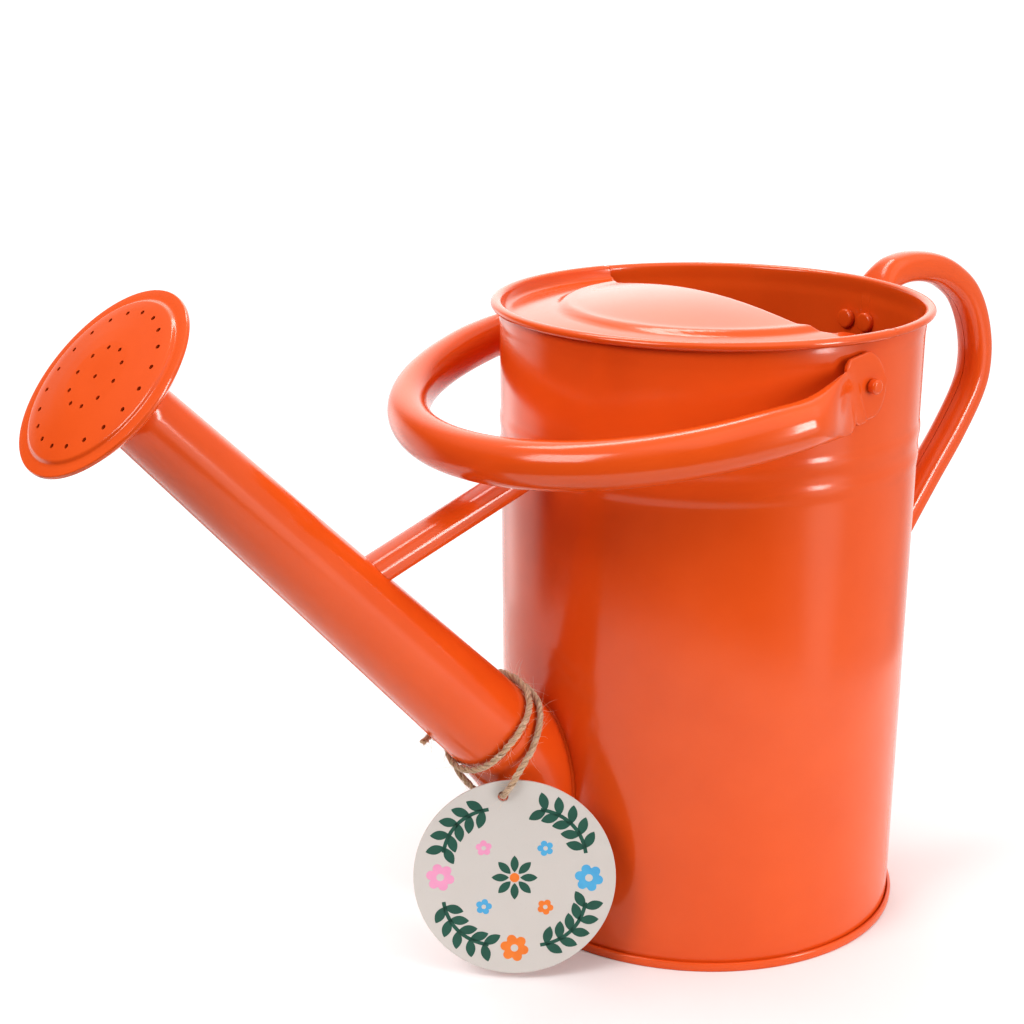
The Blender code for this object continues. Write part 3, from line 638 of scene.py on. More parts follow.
def wall_ring(azimuth):
    """The sheet's outline at one azimuth: up its outer face, round the rolled rim and down inside."""
    pressed = COVER_HOOK_PRESS * rim_is_hooked(azimuth)
    heights = wall_heights()
    outer = [(wall_radius(z) + bead_lift(z) + seam_lift(azimuth, z), z) for z in heights]
    inner = [(wall_radius(z) + bead_lift(z) - SHEET - 0.3 * seam_lift(azimuth, z), z) for z in heights]
    inside_roll = rim_arc(pressed + SHEET, RIM_ROLL_END, 18)
    outside_roll = rim_arc(pressed, RIM_ROLL_END, 18)
    return outer + inside_roll + outside_roll[::-1] + inner[::-1]


def build_body(paint):
    """The rolled wall with its curled rim, and the port that opens it into the spout."""
    rings = []
    for azimuth in wall_azimuths():
        cos, sin = math.cos(azimuth), math.sin(azimuth)
        rings.append([(BODY_X + r * cos, r * sin, z) for r, z in wall_ring(azimuth)])
    wall = painted(skin("body_wall", rings, loop=True), paint, ["body_shell"])
    port = []
    for along in (-PORT_HALF_DEPTH, PORT_HALF_DEPTH):
        port.append(spout_ring(along, ELBOW_HALF_WIDTH - SHEET, ELBOW_HALF_HEIGHT - SHEET, 72, ELBOW_DROP))
    cut(wall, skin("spout_port", port, cap="flat"))


def build_base(paint):
    """The pan, whose rim is folded round the foot of the wall and stands on the floor."""
    bottom = FLOOR_HEIGHT - PAN_SHEET
    inner_leg = BASE_RADIUS - SHEET - GAP
    outer_leg = BASE_RADIUS + GAP
    groove = [(r * MM, FLOOR_HEIGHT + h * MM) for r, h in ((30, 0), (31.5, 0.5), (60, 0.5), (61.5, 0))]
    under = [(r, z - PAN_SHEET) for r, z in reversed(groove)]
    profile = [
        (0, FLOOR_HEIGHT), *groove, (inner_leg, FLOOR_HEIGHT), (inner_leg, 1.2 * MM), (outer_leg, 1.2 * MM),
        (outer_leg, SEAM_HEIGHT), (SEAM_RADIUS, SEAM_HEIGHT), (SEAM_RADIUS + 0.25 * MM, SEAM_HEIGHT / 2),
        (SEAM_RADIUS, 0), (inner_leg - 0.5 * MM, 0), (inner_leg - 0.8 * MM, bottom), *under, (0, bottom)]
    painted(lathe("base", rounded(profile, 0.55 * MM), 240), paint, ["base_pan"])


# ---------------------------------------------------------------- half cover

def cover_free_edge_x(y):
    """The free edge runs straight across, and its two wings turn back to the rim."""
    past = max(abs(y) - COVER_BULGE_WIDTH, 0.0) / COVER_WING_RUN
    return COVER_CHORD_X + COVER_WING_BACK * past ** 1.2


def cover_height(x, y, inner_radius):
    """A flat gutter by the wall, a crisp ramp, and a plateau that swells towards the free edge."""
    from_wall = inner_radius - math.hypot(x, y)
    height = COVER_EDGE_Z + 0.2 * MM + 2.3 * MM * ramp(from_wall, 0, 24 * MM)
    height += 2.2 * MM * ramp(from_wall, 21 * MM, 4.5 * MM)
    inside = 1 - (y / COVER_BULGE_WIDTH) ** 2 - ((x - COVER_CHORD_X) / COVER_BULGE_DEPTH) ** 2
    height += COVER_BULGE * max(inside, 0.0) ** 1.15
    fillet = max(1 - from_wall / (3.0 * MM), 0.0)
    return height + 1.6 * MM * fillet ** 2


def build_cover(paint):
    """The half cover: its hemmed free edge, the plate, and the flange hooked over the rim."""
    outer = TOP_RADIUS - SHEET - 0.1 * MM
    inner = outer - SHEET
    stations, spans = 161, 44
    rings = []
    for station in range(stations):
        side = 2 * station / (stations - 1) - 1
        angle = math.pi + COVER_ARC * side
        wall = Vector((math.cos(angle), math.sin(angle)))
        edge_y = -side * (outer - 3 * MM)
        edge = Vector((cover_free_edge_x(edge_y), edge_y))
        span_direction = (wall * inner - edge).normalized()
        upper, lower = [], []
        for span in range(spans + 1):
            flat = edge.lerp(wall * inner, span / spans)
            height = cover_height(flat.x, flat.y, inner)
            upper.append((flat.x, flat.y, height))
            lower.append((flat.x, flat.y, height - SHEET))
        # The hem, which thickens to a small nib near each of its ends
        hem = []
        nib = ramp(abs(edge_y), 66 * MM, 3 * MM) * (1 - ramp(abs(edge_y), 72 * MM, 3 * MM))
        hem_radius = (0.85 + 0.5 * nib) * MM
        hem_z = upper[0][2] - hem_radius + 1.2 * MM * nib
        for turn in np.linspace(90, 330, 9):
            spot = edge + span_direction * hem_radius * math.cos(math.radians(turn))
            hem.append((spot.x, spot.y, hem_z + hem_radius * math.sin(math.radians(turn))))
        roll_end = -70 if rim_is_hooked(angle) else 150
        hook = rim_arc(-COVER_HOOK_SHEET / 3, roll_end, 16)
        back = rim_arc(COVER_HOOK_SHEET / 3, roll_end, 16)[::-1]
        top_line = [(wall.x * r, wall.y * r, z) for r, z in hook]
        under_line = [(wall.x * r, wall.y * r, z) for r, z in back]
        ring = hem[::-1] + upper[1:] + top_line + under_line + lower[:0:-1]
        rings.append([(BODY_X + x, y, z) for x, y, z in ring])
    painted(skin("half_cover", rings, cap="flat"), paint, ["top_cover"], sharp=50)


# ---------------------------------------------------------------- spout

def spout_radius(along):
    return SPOUT_ROOT_RADIUS + (SPOUT_TIP_RADIUS - SPOUT_ROOT_RADIUS) * along / SPOUT_LENGTH


def spout_clearance(point):
    along = (point - SPOUT_ROOT).dot(SPOUT_AXIS)
    off_axis = (point - SPOUT_ROOT - SPOUT_AXIS * along).length
    return off_axis - spout_radius(along) - 0.05 * MM


def on_spout(along, turn_degrees, radius):
    """A point round the spout: 0 is on top, 90 on the near side, 180 underneath."""
    turn = math.radians(turn_degrees)
    outward = SPOUT_OUT * math.cos(turn) + NEAR_SIDE * math.sin(turn)
    return SPOUT_ROOT + SPOUT_AXIS * along + outward * radius


def spout_ring(along, half_width, half_height, steps, drop=0.0):
    centre = SPOUT_ROOT + SPOUT_AXIS * along - SPOUT_OUT * drop
    ring = []
    for step in range(steps):
        turn = TAU * step / steps
        offset = SPOUT_OUT * half_height * math.cos(turn) + NEAR_SIDE * half_width * math.sin(turn)
        ring.append(centre + offset)
    return ring


def build_spout_tube(paint):
    """The rolled and soldered cone, with its lap seam underneath and a softened end."""
    steps = 128
    lap_turn, lap_half_width, lap_edge, lap_rise = 188, 3.5, 1.2, 0.45 * MM
    stops = [MITRE, MITRE + 0.4 * MM] + list(np.linspace(MITRE + 4 * MM, SPOUT_LENGTH - 4 * MM, 40))
    stops += [SPOUT_LENGTH - 0.4 * MM, SPOUT_LENGTH]
    rings = []
    for inset, order in ((0.0, stops), (SHEET, stops[::-1])):
        for along in order:
            soft = 0.2 * MM if along in (MITRE, SPOUT_LENGTH) else 0.0
            radius = spout_radius(along) - inset + (soft if inset else -soft)
            ring = []
            for step in range(steps):
                degrees = 360 * step / steps
                lap = 0.0
                if not inset:
                    lap = lap_rise * smooth_step((lap_half_width - abs(degrees - lap_turn)) / lap_edge)
                ring.append(on_spout(along, degrees, radius + lap))
            rings.append(ring)
    painted(skin("spout", rings, loop=True), paint, ["spout_tube"])


def build_spout_elbow(paint):
    """The short mitred length that flares to a tall oval where it is let into the wall."""
    start = MITRE - 0.05 * MM
    steps, spans = 96, 12
    outer_rings, inner_rings = [], []
    for inset, rings in ((0.0, outer_rings), (SHEET, inner_rings)):
        radius = spout_radius(start) - inset
        mouth = spout_ring(start, radius, radius, steps)
        guide = spout_ring(start, ELBOW_HALF_WIDTH - inset, ELBOW_HALF_HEIGHT - inset, steps, ELBOW_DROP)
        root = [travel(point, -SPOUT_AXIS, wall_clearance, ELBOW_REACH) for point in guide]
        for span in range(spans + 1):
            t = span / spans
            swell = ELBOW_SWELL * math.sin(math.pi * t) ** 0.8
            ring = []
            for first, last in zip(mouth, root):
                spot = first.lerp(last, t)
                axis_spot = SPOUT_ROOT + SPOUT_AXIS * (spot - SPOUT_ROOT).dot(SPOUT_AXIS)
                ring.append(spot + (spot - axis_spot).normalized() * swell)
            rings.append(ring)
    painted(skin("elbow", outer_rings + inner_rings[::-1], loop=True), paint, ["spout_elbow"])
    build_weld(outer_rings[-1], paint)


def build_weld(root, paint):
    """The lumpy line of solder where the elbow meets the wall."""
    bead_rings = []
    for i, spot in enumerate(root):
        ahead = (root[(i + 1) % len(root)] - root[i - 1]).normalized()
        wall_normal = Vector((spot.x - BODY_X, spot.y, 0)).normalized()
        across = ahead.cross(wall_normal).normalized()
        lump = 1 + 0.35 * noise.noise(spot * 260) + 0.2 * noise.noise(spot * 900)
        radius = WELD_RADIUS * lump
        ring = []
        for side in range(10):
            turn = TAU * side / 10
            offset = wall_normal * radius * 0.8 * math.cos(turn) + across * radius * math.sin(turn)
            ring.append(spot + offset)
        bead_rings.append(ring)
    painted(skin("elbow_weld", bead_rings, loop=True), paint)


def build_brace(paint):
    """A strut folded from strip: creased along its sides, open at the spout end."""
    along = Vector((math.cos(BRACE_PITCH), 0, math.sin(BRACE_PITCH)))
    up = Vector((-math.sin(BRACE_PITCH), 0, math.cos(BRACE_PITCH)))
    wall_point = Vector((BODY_X - wall_radius(BRACE_WALL_Z), 0, BRACE_WALL_Z))
    middle = wall_point - along * BRACE_MIDDLE
    steps, spans = 72, 24
    share = 2 / 2.6
    outer_rings, inner_rings = [], []
    for inset, rings in ((0.0, outer_rings), (SHEET, inner_rings)):
        ring = []
        for step in range(steps):
            angle = TAU * step / steps
            cos, sin = math.cos(angle), math.sin(angle)
            wide = squared_off(cos, share) * (BRACE_HALF_WIDTH - inset)
            tall = squared_off(sin, share) * (BRACE_HALF_HEIGHT - inset)
            if not inset:
                crease = max(1 - abs(math.degrees(angle) % 180 - 128) / 7, 0)
                tall *= 1 - 0.09 * crease
            ring.append(middle + up * tall + NEAR_SIDE * wide)
        at_wall = [travel(point, along, wall_clearance, BRACE_REACH) for point in ring]
        at_spout = [travel(point, -along, spout_clearance, BRACE_REACH) for point in ring]
        for span in range(spans + 1):
            t = span / spans
            rings.append([first.lerp(last, t) for first, last in zip(at_spout, at_wall)])
    painted(skin("brace", outer_rings + inner_rings[::-1], loop=True), paint, ["spout_brace"])


# ---------------------------------------------------------------- rose

def rose_axis():
    level = math.cos(ROSE_PITCH)
    return Vector((-level * math.cos(ROSE_YAW), -level * math.sin(ROSE_YAW), math.sin(ROSE_PITCH)))


def rose_placing():
    """Stands local Z along the rose's own axis, with X towards its top and Z = 0 at its flange."""
    axis = rose_axis()
    top = (SPOUT_OUT - axis * SPOUT_OUT.dot(axis)).normalized()
    origin = SPOUT_ROOT + SPOUT_AXIS * ROSE_SEAT + axis * ROSE_SEAT_DEPTH
    return Matrix.Translation(origin) @ Matrix((top, axis.cross(top), axis)).transposed().to_4x4()


def build_rose(paint):
    edge = ROSE_RADIUS / MM
    placing = rose_placing()
    face_profile = in_mm([
        (0, 2.8), (8, 2.8), (14, 2.65), (20, 2.2), (27, 1.55), (31.7, 1.1), (32.5, 0.1), (33.3, 0.0),
        (edge - 0.1, 0.0), (edge, -1.5), (edge - 0.7, -1.5), (edge - 0.75, -0.7), (32.2, -0.7), (31.3, 0.4),
        (27, 0.8), (20, 1.45), (14, 1.9), (8, 2.0), (0, 2.0)])
    plate = lathe("rose_plate", rounded(face_profile, 0.55 * MM), 192, placing)
    face = painted(plate, paint, ["rose_face"], "rose")
    holes = []
    for count, radius in ROSE_HOLE_RINGS:
        for step in range(count):
            angle = ROSE_HOLE_TURN + TAU * step / count
            spot = placing @ Vector((radius * math.cos(angle), radius * math.sin(angle), 0))
            holes.append((spot, spot + rose_axis() * 6 * MM))
    cut(face, rods("rose_holes", holes, ROSE_HOLE_RADIUS, 18), 30)

    back_profile = in_mm([
        (36.1, -1.1), (36.15, -2.0), (33, -4.2), (30, -6.0), (24, -8.8), (18, -11.0), (13.2, -12.6),
        (10.0, -12.7), (10.0, -11.9), (12.9, -11.8), (17.7, -10.2), (23.7, -8.0), (29.7, -5.2),
        (35.2, -1.8), (35.2, -1.1)])
    back = lathe("rose_cone", rounded(back_profile, 1.2 * MM), 160, placing)
    painted(back, paint, ["rose_back"], "rose")
    bore, tube, lip, bead, end = 9.2, 9.9, 11.9, 13.0, -28
    neck_profile = in_mm([
        (bore, -10.6), (lip, -10.6), (lip, -11.3), (tube, -11.3), (tube, -12.75), (bead, -12.75),
        (bead, -14.6), (tube + 0.1, -14.9), (tube, -16), (tube, end), (bore, end)])
    neck = lathe("rose_socket", rounded(neck_profile, 0.3 * MM), 96, placing)
    painted(neck, paint, ["rose_neck"], "rose")


# ---------------------------------------------------------------- rivets

def add_rivet(name, profile, origin, direction, paint, node, rounding=0.5):
    outline = rounded(in_mm(profile), rounding * MM)
    painted(lathe(name, outline, 48, axis_placing(origin, direction)), paint, [node])


def build_rivets(paint):
    """The bail's two pivots with their washers, and the two pairs that hold the back handle."""
    rivet = [(0, 92.1), (1.9, 92.0), (2.8, 91.4), (2.85, 89.0), (1.8, 89.0), (1.8, 82.3),
             (3.2, 82.3), (3.2, 81.6), (2.6, 81.1), (0, 81.0)]
    washer = [(2.15, 83.4), (5.0, 83.4), (5.0, 82.65), (2.15, 82.65)]
    for side, label in ((-1, "near"), (1, "far")):
        origin = Vector((BAIL_PIVOT.x, 0, BAIL_PIVOT.z))
        direction = Vector((0, side, 0))
        add_rivet("bail_pin_" + label, rivet, origin, direction, paint, "bail_rivet_" + label, 0.3)
        add_rivet("bail_shim_" + label, washer, origin, direction, paint, "bail_washer_" + label, 0.2)
    for z, level in zip(HANDLE_RIVET_Z, ("upper", "lower")):
        shell = wall_radius(z) / MM
        rivet = [(0, shell + 5.1), (2.2, shell + 5.1), (3.0, shell + 4.5), (3.0, shell + 3.75),
                 (2.0, shell + 3.75), (2.0, shell - 1.2), (4.1, shell - 1.2), (4.1, shell - 3.2),
                 (3.5, shell - 3.8), (0, shell - 4.0)]
        for side, label in ((-1, "near"), (1, "far")):
            origin = Vector((BODY_X, side * HANDLE_RIVET_SPREAD, z))
            name = level + "_" + label
            outward = Vector((1, 0, 0))
            add_rivet("handle_pin_" + name, rivet, origin, outward, paint, "handle_rivet_" + name)


# ---------------------------------------------------------------- handles

def tube_ring(centre, across, up, half_across, half_up, slit, power, opening, crease=0.0):
    """One ring of rolled strip, outer side then inner, open along a narrow seam."""
    points = 44
    gap = math.radians(opening)
    share = 2 / power
    ring = []
    for inset, order in ((0.0, range(points)), (SHEET, reversed(range(points)))):
        for i in order:
            angle = slit + gap + (TAU - 2 * gap) * i / (points - 1)
            wide = squared_off(math.cos(angle), share) * (half_across - inset)
            tall = squared_off(math.sin(angle), share) * (half_up - inset)
            if not inset:
                wide *= 1 - crease * max(abs(math.sin(angle)) - 0.93, 0) / 0.07
            ring.append(centre + across * wide + up * tall)
    return ring


def bail_turn(reach):
    return math.asin((reach / BAIL_REACH) ** (1 / BAIL_FULLNESS))


def bail_arm(reach):
    """Half width, half thickness, half height and drop of one arm, this far from the pivot."""
    curve = BAIL_HALF_WIDTH * math.cos(bail_turn(max(reach, 0.0)))
    lift = smooth_step((reach - PADDLE_STEP) / (PADDLE_SHOULDER - PADDLE_STEP))
    swell = smooth_step((reach - PADDLE_NECK) / (BAIL_SWELL_END - PADDLE_NECK))
    inner = PADDLE_INNER + (curve - BAIL_TUBE_RADIUS - PADDLE_INNER) * lift
    outer = PADDLE_OUTER + (curve + BAIL_TUBE_RADIUS - PADDLE_OUTER) * swell
    drop = PADDLE_DROP * lift * (1 - swell)
    if reach < 0:
        tall = PADDLE_HALF_HEIGHT * math.sqrt(1 - (reach / PADDLE_TAIL) ** 2)
    else:
        corner = math.sqrt(max(PADDLE_CORNER_RADIUS ** 2 - reach ** 2, 0.0))
        tall = min(PADDLE_HALF_HEIGHT, corner)
        pressed = PRESSED_HALF_HEIGHT + (BAIL_TUBE_RADIUS - PRESSED_HALF_HEIGHT) * swell
        tall += (pressed - tall) * lift
    return (inner + outer) / 2, (outer - inner) / 2, tall, drop


def lift_flap(ring, centre, across, up, reach):
    """The lower part of the tube's outer side ends in a slanting edge, proud of the flat plate."""
    fading = 1 - ramp(reach, 12 * MM, 14 * MM)
    result = []
    for spot in ring:
        above = (spot - centre).dot(up)
        past_edge = ramp(reach - 0.2 * above, 6.6 * MM, 0.9 * MM)
        below = ramp(-above, -1 * MM, 9 * MM)
        outside = ramp((spot - centre).dot(across), 0, 0.8 * MM)
        result.append(spot + across * FLAP_LIFT * past_edge * below * fading * outside)
    return result


def build_bail(paint):
    """The swing handle: a rolled tube, bent to a bow, with its ends pressed flat round the pivots."""
    forward = Vector((-math.cos(BAIL_DROOP), 0, -math.sin(BAIL_DROOP)))
    up = Vector((-math.sin(BAIL_DROOP), 0, math.cos(BAIL_DROOP)))
    arm = np.concatenate([np.linspace(-7.5, 0, 14), np.linspace(0.8, 4, 5), np.linspace(4.3, 11, 28),
                          np.linspace(11.3, 14.5, 11), np.linspace(15.5, 46, 30)]) * MM
    first_turn = bail_turn(arm[-1])
    stations = [(-1, *bail_arm(reach), reach, Vector((0, -1, 0))) for reach in arm]
    for step in range(1, BAIL_BOW_STEPS):
        turn = first_turn + (math.pi - 2 * first_turn) * step / BAIL_BOW_STEPS
        reach = BAIL_REACH * math.sin(turn) ** BAIL_FULLNESS
        slope_forward = BAIL_REACH * BAIL_FULLNESS * math.sin(turn) ** (BAIL_FULLNESS - 1) * math.cos(turn)
        across = (forward * BAIL_HALF_WIDTH * math.sin(turn) - Vector((0, slope_forward, 0))).normalized()
        width = BAIL_HALF_WIDTH * math.cos(turn)
        stations.append((-1, width, BAIL_TUBE_RADIUS, BAIL_TUBE_RADIUS, 0.0, reach, across))
    stations += [(1, *bail_arm(reach), reach, Vector((0, 1, 0))) for reach in reversed(arm)]
    rings = []
    for side, width, thick, tall, drop, reach, across in stations:
        centre = BAIL_PIVOT + forward * reach - up * drop + Vector((0, side * width, 0))
        power = 3.1 - 1.1 * ramp(reach, 12 * MM, 26 * MM)
        taller = BAIL_OVAL * ramp(reach, 24 * MM, 36 * MM)
        centre += up * taller
        ring = tube_ring(centre, across, up, thick, tall + taller, -math.pi / 2, power, opening=2.0)
        rings.append(lift_flap(ring, centre, across, up, reach))
    bail = painted(skin("bail", rings, cap="strip"), paint, ["bail_handle"], "bail")
    lines = []
    for side in (-1, 1):
        lines.append([Vector((BAIL_PIVOT.x, side * y, BAIL_PIVOT.z)) for y in BAIL_RIVET_SPAN])
    cut(bail, rods("bail_holes", lines, BAIL_HOLE_RADIUS, 32))


def handle_path():
    """The back handle's middle line in its own plane, from the upper tab round to the lower one."""
    top = wall_radius(240 * MM) / MM + 0.4 + TAB_HALF_THICKNESS / MM
    foot = wall_radius(84 * MM) / MM + 0.5 + TAB_HALF_THICKNESS / MM
    points = [
        (top, 227), (top, 234), (top + 0.1, 240.5), (91.5, 248.2), (99, 253.6), (108.5, 256.2),
        (119, 256.2), (130.6, 253.7), (139.8, 249.3), (149.1, 242), (155.8, 231.5), (160.1, 217),
        (160.0, 204.6), (157.0, 195.7), (146.0, 178.5), (131.6, 160.3), (117.0, 141.2), (103.6, 122.6),
        (94.4, 108), (88.9, 98.5), (foot + 0.4, 91.5), (foot, 84), (foot, 75)]
    return [Vector((BODY_X + x * MM, 0, z * MM)) for x, z in points]


def build_rear_handle(paint):
    """The fixed back handle: flattened rolled tube, creased along its sides, with riveted tabs."""
    path = curve_through(handle_path(), 10)
    rings = []
    for i, centre in enumerate(path):
        before = path[max(i - 1, 0)]
        after = path[min(i + 1, len(path) - 1)]
        heading = (after - before).normalized()
        across = Vector((-heading.z, 0, heading.x))
        from_wall = centre.x - BODY_X - wall_radius(centre.z)
        swell = ramp(from_wall, HANDLE_SWELL_START, HANDLE_SWELL_RUN)
        thick = TAB_HALF_THICKNESS + (HANDLE_HALF_THICKNESS - TAB_HALF_THICKNESS) * swell
        end_distance = min((centre - path[0]).length, (centre - path[-1]).length)
        width = TAB_HALF_WIDTH + (HANDLE_HALF_WIDTH - TAB_HALF_WIDTH) * swell
        width *= 0.72 + 0.28 * math.sqrt(ramp(end_distance, 0, TAB_CORNER))
        crease = 0.1 * swell
        rings.append(tube_ring(centre, across, NEAR_SIDE, thick, width, math.pi, 2.4, 0.5, crease))
    handle = painted(skin("back_handle", rings, cap="strip"), paint, ["rear_handle"])
    lines = []
    for z in HANDLE_RIVET_Z:
        for side in (-1, 1):
            y = side * HANDLE_RIVET_SPREAD
            lines.append([Vector((BODY_X + x, y, z)) for x in HANDLE_RIVET_SPAN])
    cut(handle, rods("handle_holes", lines, HANDLE_HOLE_RADIUS, 24))


# ---------------------------------------------------------------- twine

def tag_frame():
    """Directions up the card's face, out of its face and to its right."""
    level = Vector((math.cos(TAG_FACING), math.sin(TAG_FACING), 0))
    up = Vector((0, 0, math.cos(TAG_LEAN))) - level * math.sin(TAG_LEAN)
    out = level * math.cos(TAG_LEAN) + Vector((0, 0, math.sin(TAG_LEAN)))
    return up, out, up.cross(out)


def twine_route():
    """A tail, nearly two turns round the spout, down through the tag and up under the spout."""
    turns = [
        (56, 194, 4.2), (52, 206, 2.6), (47.5, 228, 1.9), (45.5, 255, 1.85), (45, 290, 1.85),
        (45, 325, 1.85), (44, 350, 1.85), (42.2, 370, 1.85), (40.6, 392, 1.85), (40.6, 415, 1.85),
        (41.2, 440, 1.85), (41.2, 465, 1.85), (39.9, 488, 1.85), (38.8, 510, 1.85),
        (38.4, 532, 1.85), (38.2, 556, 1.85), (38.2, 585, 1.85), (38.6, 615, 1.85),
        (39.4, 650, 1.85), (39.9, 690, 1.85), (39.2, 712, 1.85), (36.6, 730, 1.9),
        (33.8, 748, 1.95), (33.4, 770, 1.95), (32.5, 792, 2.0), (30.9, 814, 2.2)]
    route = []
    for along, turn, stand_off in turns:
        radius = spout_radius(along * MM) + stand_off * MM
        route.append(on_spout(along * MM, turn, radius))
    up, out, right = tag_frame()
    by_tag = [
        (1.4, 11.0, 6.6), (2.7, 6.8, 4.1), (2.8, 3.4, 1.9), (1.7, 1.0, 0.4), (0, 0, 0), (-1.9, 0.4, -0.5),
        (-4.2, 0.6, -1.6), (-7.4, -1.6, -3.4)]
    for forward, above, aside in by_tag:
        route.append(TAG_HOLE + out * forward * MM + up * above * MM + right * aside * MM)
    for along, turn, radius in ((21, 169, 24.9), (26.5, 176, 23.3), (31.5, 190, 22.2), (33.6, 208, 21.4)):
        route.append(on_spout(along * MM, turn, radius * MM))
    return route


def evenly(points, spacing):
    """The same line with points at an even spacing, and its length."""
    spots = np.array([tuple(point) for point in points])
    lengths = lengths_along(spots)
    count = max(int(lengths[-1] / spacing), 2)
    stops = np.linspace(0, lengths[-1], count + 1)
    return np.stack([np.interp(stops, lengths, spots[:, axis]) for axis in range(3)], 1), lengths[-1]


def carried_frames(spots):
    """Headings along the line, and two directions across it that are carried along without twist."""
    headings = np.gradient(spots, axis=0)
    headings /= np.linalg.norm(headings, axis=1)[:, None]
    across = np.cross(headings[0], (0.3, 0.2, 0.9))
    result = []
    for heading in headings:
        across = across - heading * np.dot(across, heading)
        across /= np.linalg.norm(across)
        result.append(across.copy())
    result = np.array(result)
    return headings, result, np.cross(headings, result)


def strand_mesh(name, spots, radii, sides, twist=0.0):
    """A tube of varying radius along a line, with U along it and V round it."""
    headings, first, second = carried_frames(spots)
    count = len(spots)
    bm = bmesh.new()
    layer = bm.loops.layers.uv.new("UVMap")
    rows = []
    lengths = lengths_along(spots)
    for i in range(count):
        row = []
        for side in range(sides):
            angle = TAU * side / sides + twist * lengths[i]
            offset = (first[i] * math.cos(angle) + second[i] * math.sin(angle)) * radii[i]
            row.append(bm.verts.new(spots[i] + offset))
        rows.append(row)
    for i in range(count - 1):
        for side in range(sides):
            after = (side + 1) % sides
            face = bm.faces.new((rows[i][side], rows[i][after], rows[i + 1][after], rows[i + 1][side]))
            places = ((i, side), (i, side + 1), (i + 1, side + 1), (i + 1, side))
            for loop, (at, turn) in zip(face.loops, places):
                loop[layer].uv = (lengths[at] / (2 * MM), turn / sides)
    bm.faces.new(rows[0])
    bm.faces.new(rows[-1])
    bmesh.ops.recalc_face_normals(bm, faces=bm.faces)
    return mesh_from(name, bm)


def laid_plies(name, spots, seed):
    """Two plies laid round each other along a line."""
    draw = random.Random(seed)
    _, first, second = carried_frames(spots)
    lengths = lengths_along(spots)
    plies = []
    for ply in range(2):
        phase = math.pi * ply
        path, radii = [], []
        bias = draw.uniform(0, 100)
        for i, spot in enumerate(spots):
            angle = TAU * lengths[i] / PLY_PITCH + phase
            outward = first[i] * math.cos(angle) + second[i] * math.sin(angle)
            wander = 1 + 0.12 * noise.noise(Vector((lengths[i] * 260, bias, 0)))
            path.append(spot + outward * PLY_OFFSET * wander)
            radii.append(PLY_RADIUS * (1 + 0.10 * noise.noise(Vector((lengths[i] * 400, bias, 7)))))
        plies.append(strand_mesh(name, np.array(path), radii, 12, 500.0))
    return joined(name, plies)


def twine_fuzz(spots, count, seed):
    """Loose fibres that stand off the twine, and a few that curl away from it."""
    draw = random.Random(seed)
    headings, first, second = carried_frames(spots)
    hairs = []
    for _ in range(count):
        i = draw.randrange(2, len(spots) - 2)
        angle = draw.uniform(0, TAU)
        outward = first[i] * math.cos(angle) + second[i] * math.sin(angle)
        point = Vector(spots[i] + outward * 1.0 * MM)
        heading = Vector(headings[i]) * draw.choice((-1, 1)) + Vector(outward) * draw.uniform(0.15, 0.9)
        heading.normalize()
        reach = draw.choice((1.6, 2.4, 3.2, 4.5, 8.0)) * MM
        line = [point]
        bend = Vector((draw.uniform(-1, 1), draw.uniform(-1, 1), draw.uniform(-1, 1))) * 0.35
        for _ in range(5):
            heading = (heading + bend).normalized()
            line.append(line[-1] + heading * reach / 5)
        radius = draw.uniform(0.035, 0.06) * MM
        radii = [radius * (1 - 0.75 * k / 5) for k in range(6)]
        hairs.append(strand_mesh("hair", np.array([tuple(p) for p in line]), radii, 4))
    for _ in range(count // 5):
        start, drift = draw.randrange(0, len(spots) - 30), draw.uniform(0, 100)
        path = []
        for i in range(start, min(start + draw.randrange(20, 60), len(spots)), 2):
            angle = TAU * i / 17 + 5 * noise.noise(Vector((i * 0.03, drift, 3)))
            stand = 1.22 * MM + 0.35 * MM * noise.noise(Vector((i * 0.1, drift, 9)))
            outward = first[i] * math.cos(angle) + second[i] * math.sin(angle)
            path.append(spots[i] + outward * stand)
        hairs.append(strand_mesh("hair", np.array(path), [draw.uniform(0.06, 0.12) * MM] * len(path), 5))
    return joined("twine_fibres", hairs)


def build_twine():
    """The laid twine, its loose fibres and its knot, with the line it follows and its length."""
    spots, length = evenly(curve_through(twine_route(), 10), TWINE_SPACING)
    fibre = jute("jute_twine", TWINE_TONES)
    loose_fibre = jute("loose_fibre", LOOSE_FIBRE_TONES)
    plies = laid_plies("twine_lay", spots, seed=5)
    twine = piece("twine_lay", plies, fibre, "can", ["twine"], 60)
    hairs = twine_fuzz(spots, count=900, seed=9)
    fuzz = piece("twine_fibres", hairs, loose_fibre, "can", (), 60)
    knot = piece("twine_knot", knot_mesh(), fibre, "can", (), 60)
    return twine, fuzz, knot, spots, length


def knot_mesh():
    """The overhand knot behind the spout that ties both strands."""
    middle = on_spout(42 * MM, 232, spout_radius(42 * MM) + 3.0 * MM)
    away = (middle - SPOUT_ROOT - SPOUT_AXIS * 42 * MM).normalized()
    round_way = SPOUT_AXIS.cross(away)
    size, depth = 1.25 * MM, 1.1 * MM
    loops = []
    for t in np.linspace(0, TAU, 90, endpoint=False):
        x = (math.sin(t) + 2 * math.sin(2 * t)) * size
        y = (math.cos(t) - 2 * math.cos(2 * t)) * size
        z = -math.sin(3 * t) * depth
        loops.append(middle + SPOUT_AXIS * x + round_way * y + away * z)
    spots, _ = evenly(loops, TWINE_SPACING)
    return laid_plies("twine_knot", spots, seed=11)


# ---------------------------------------------------------------- tag

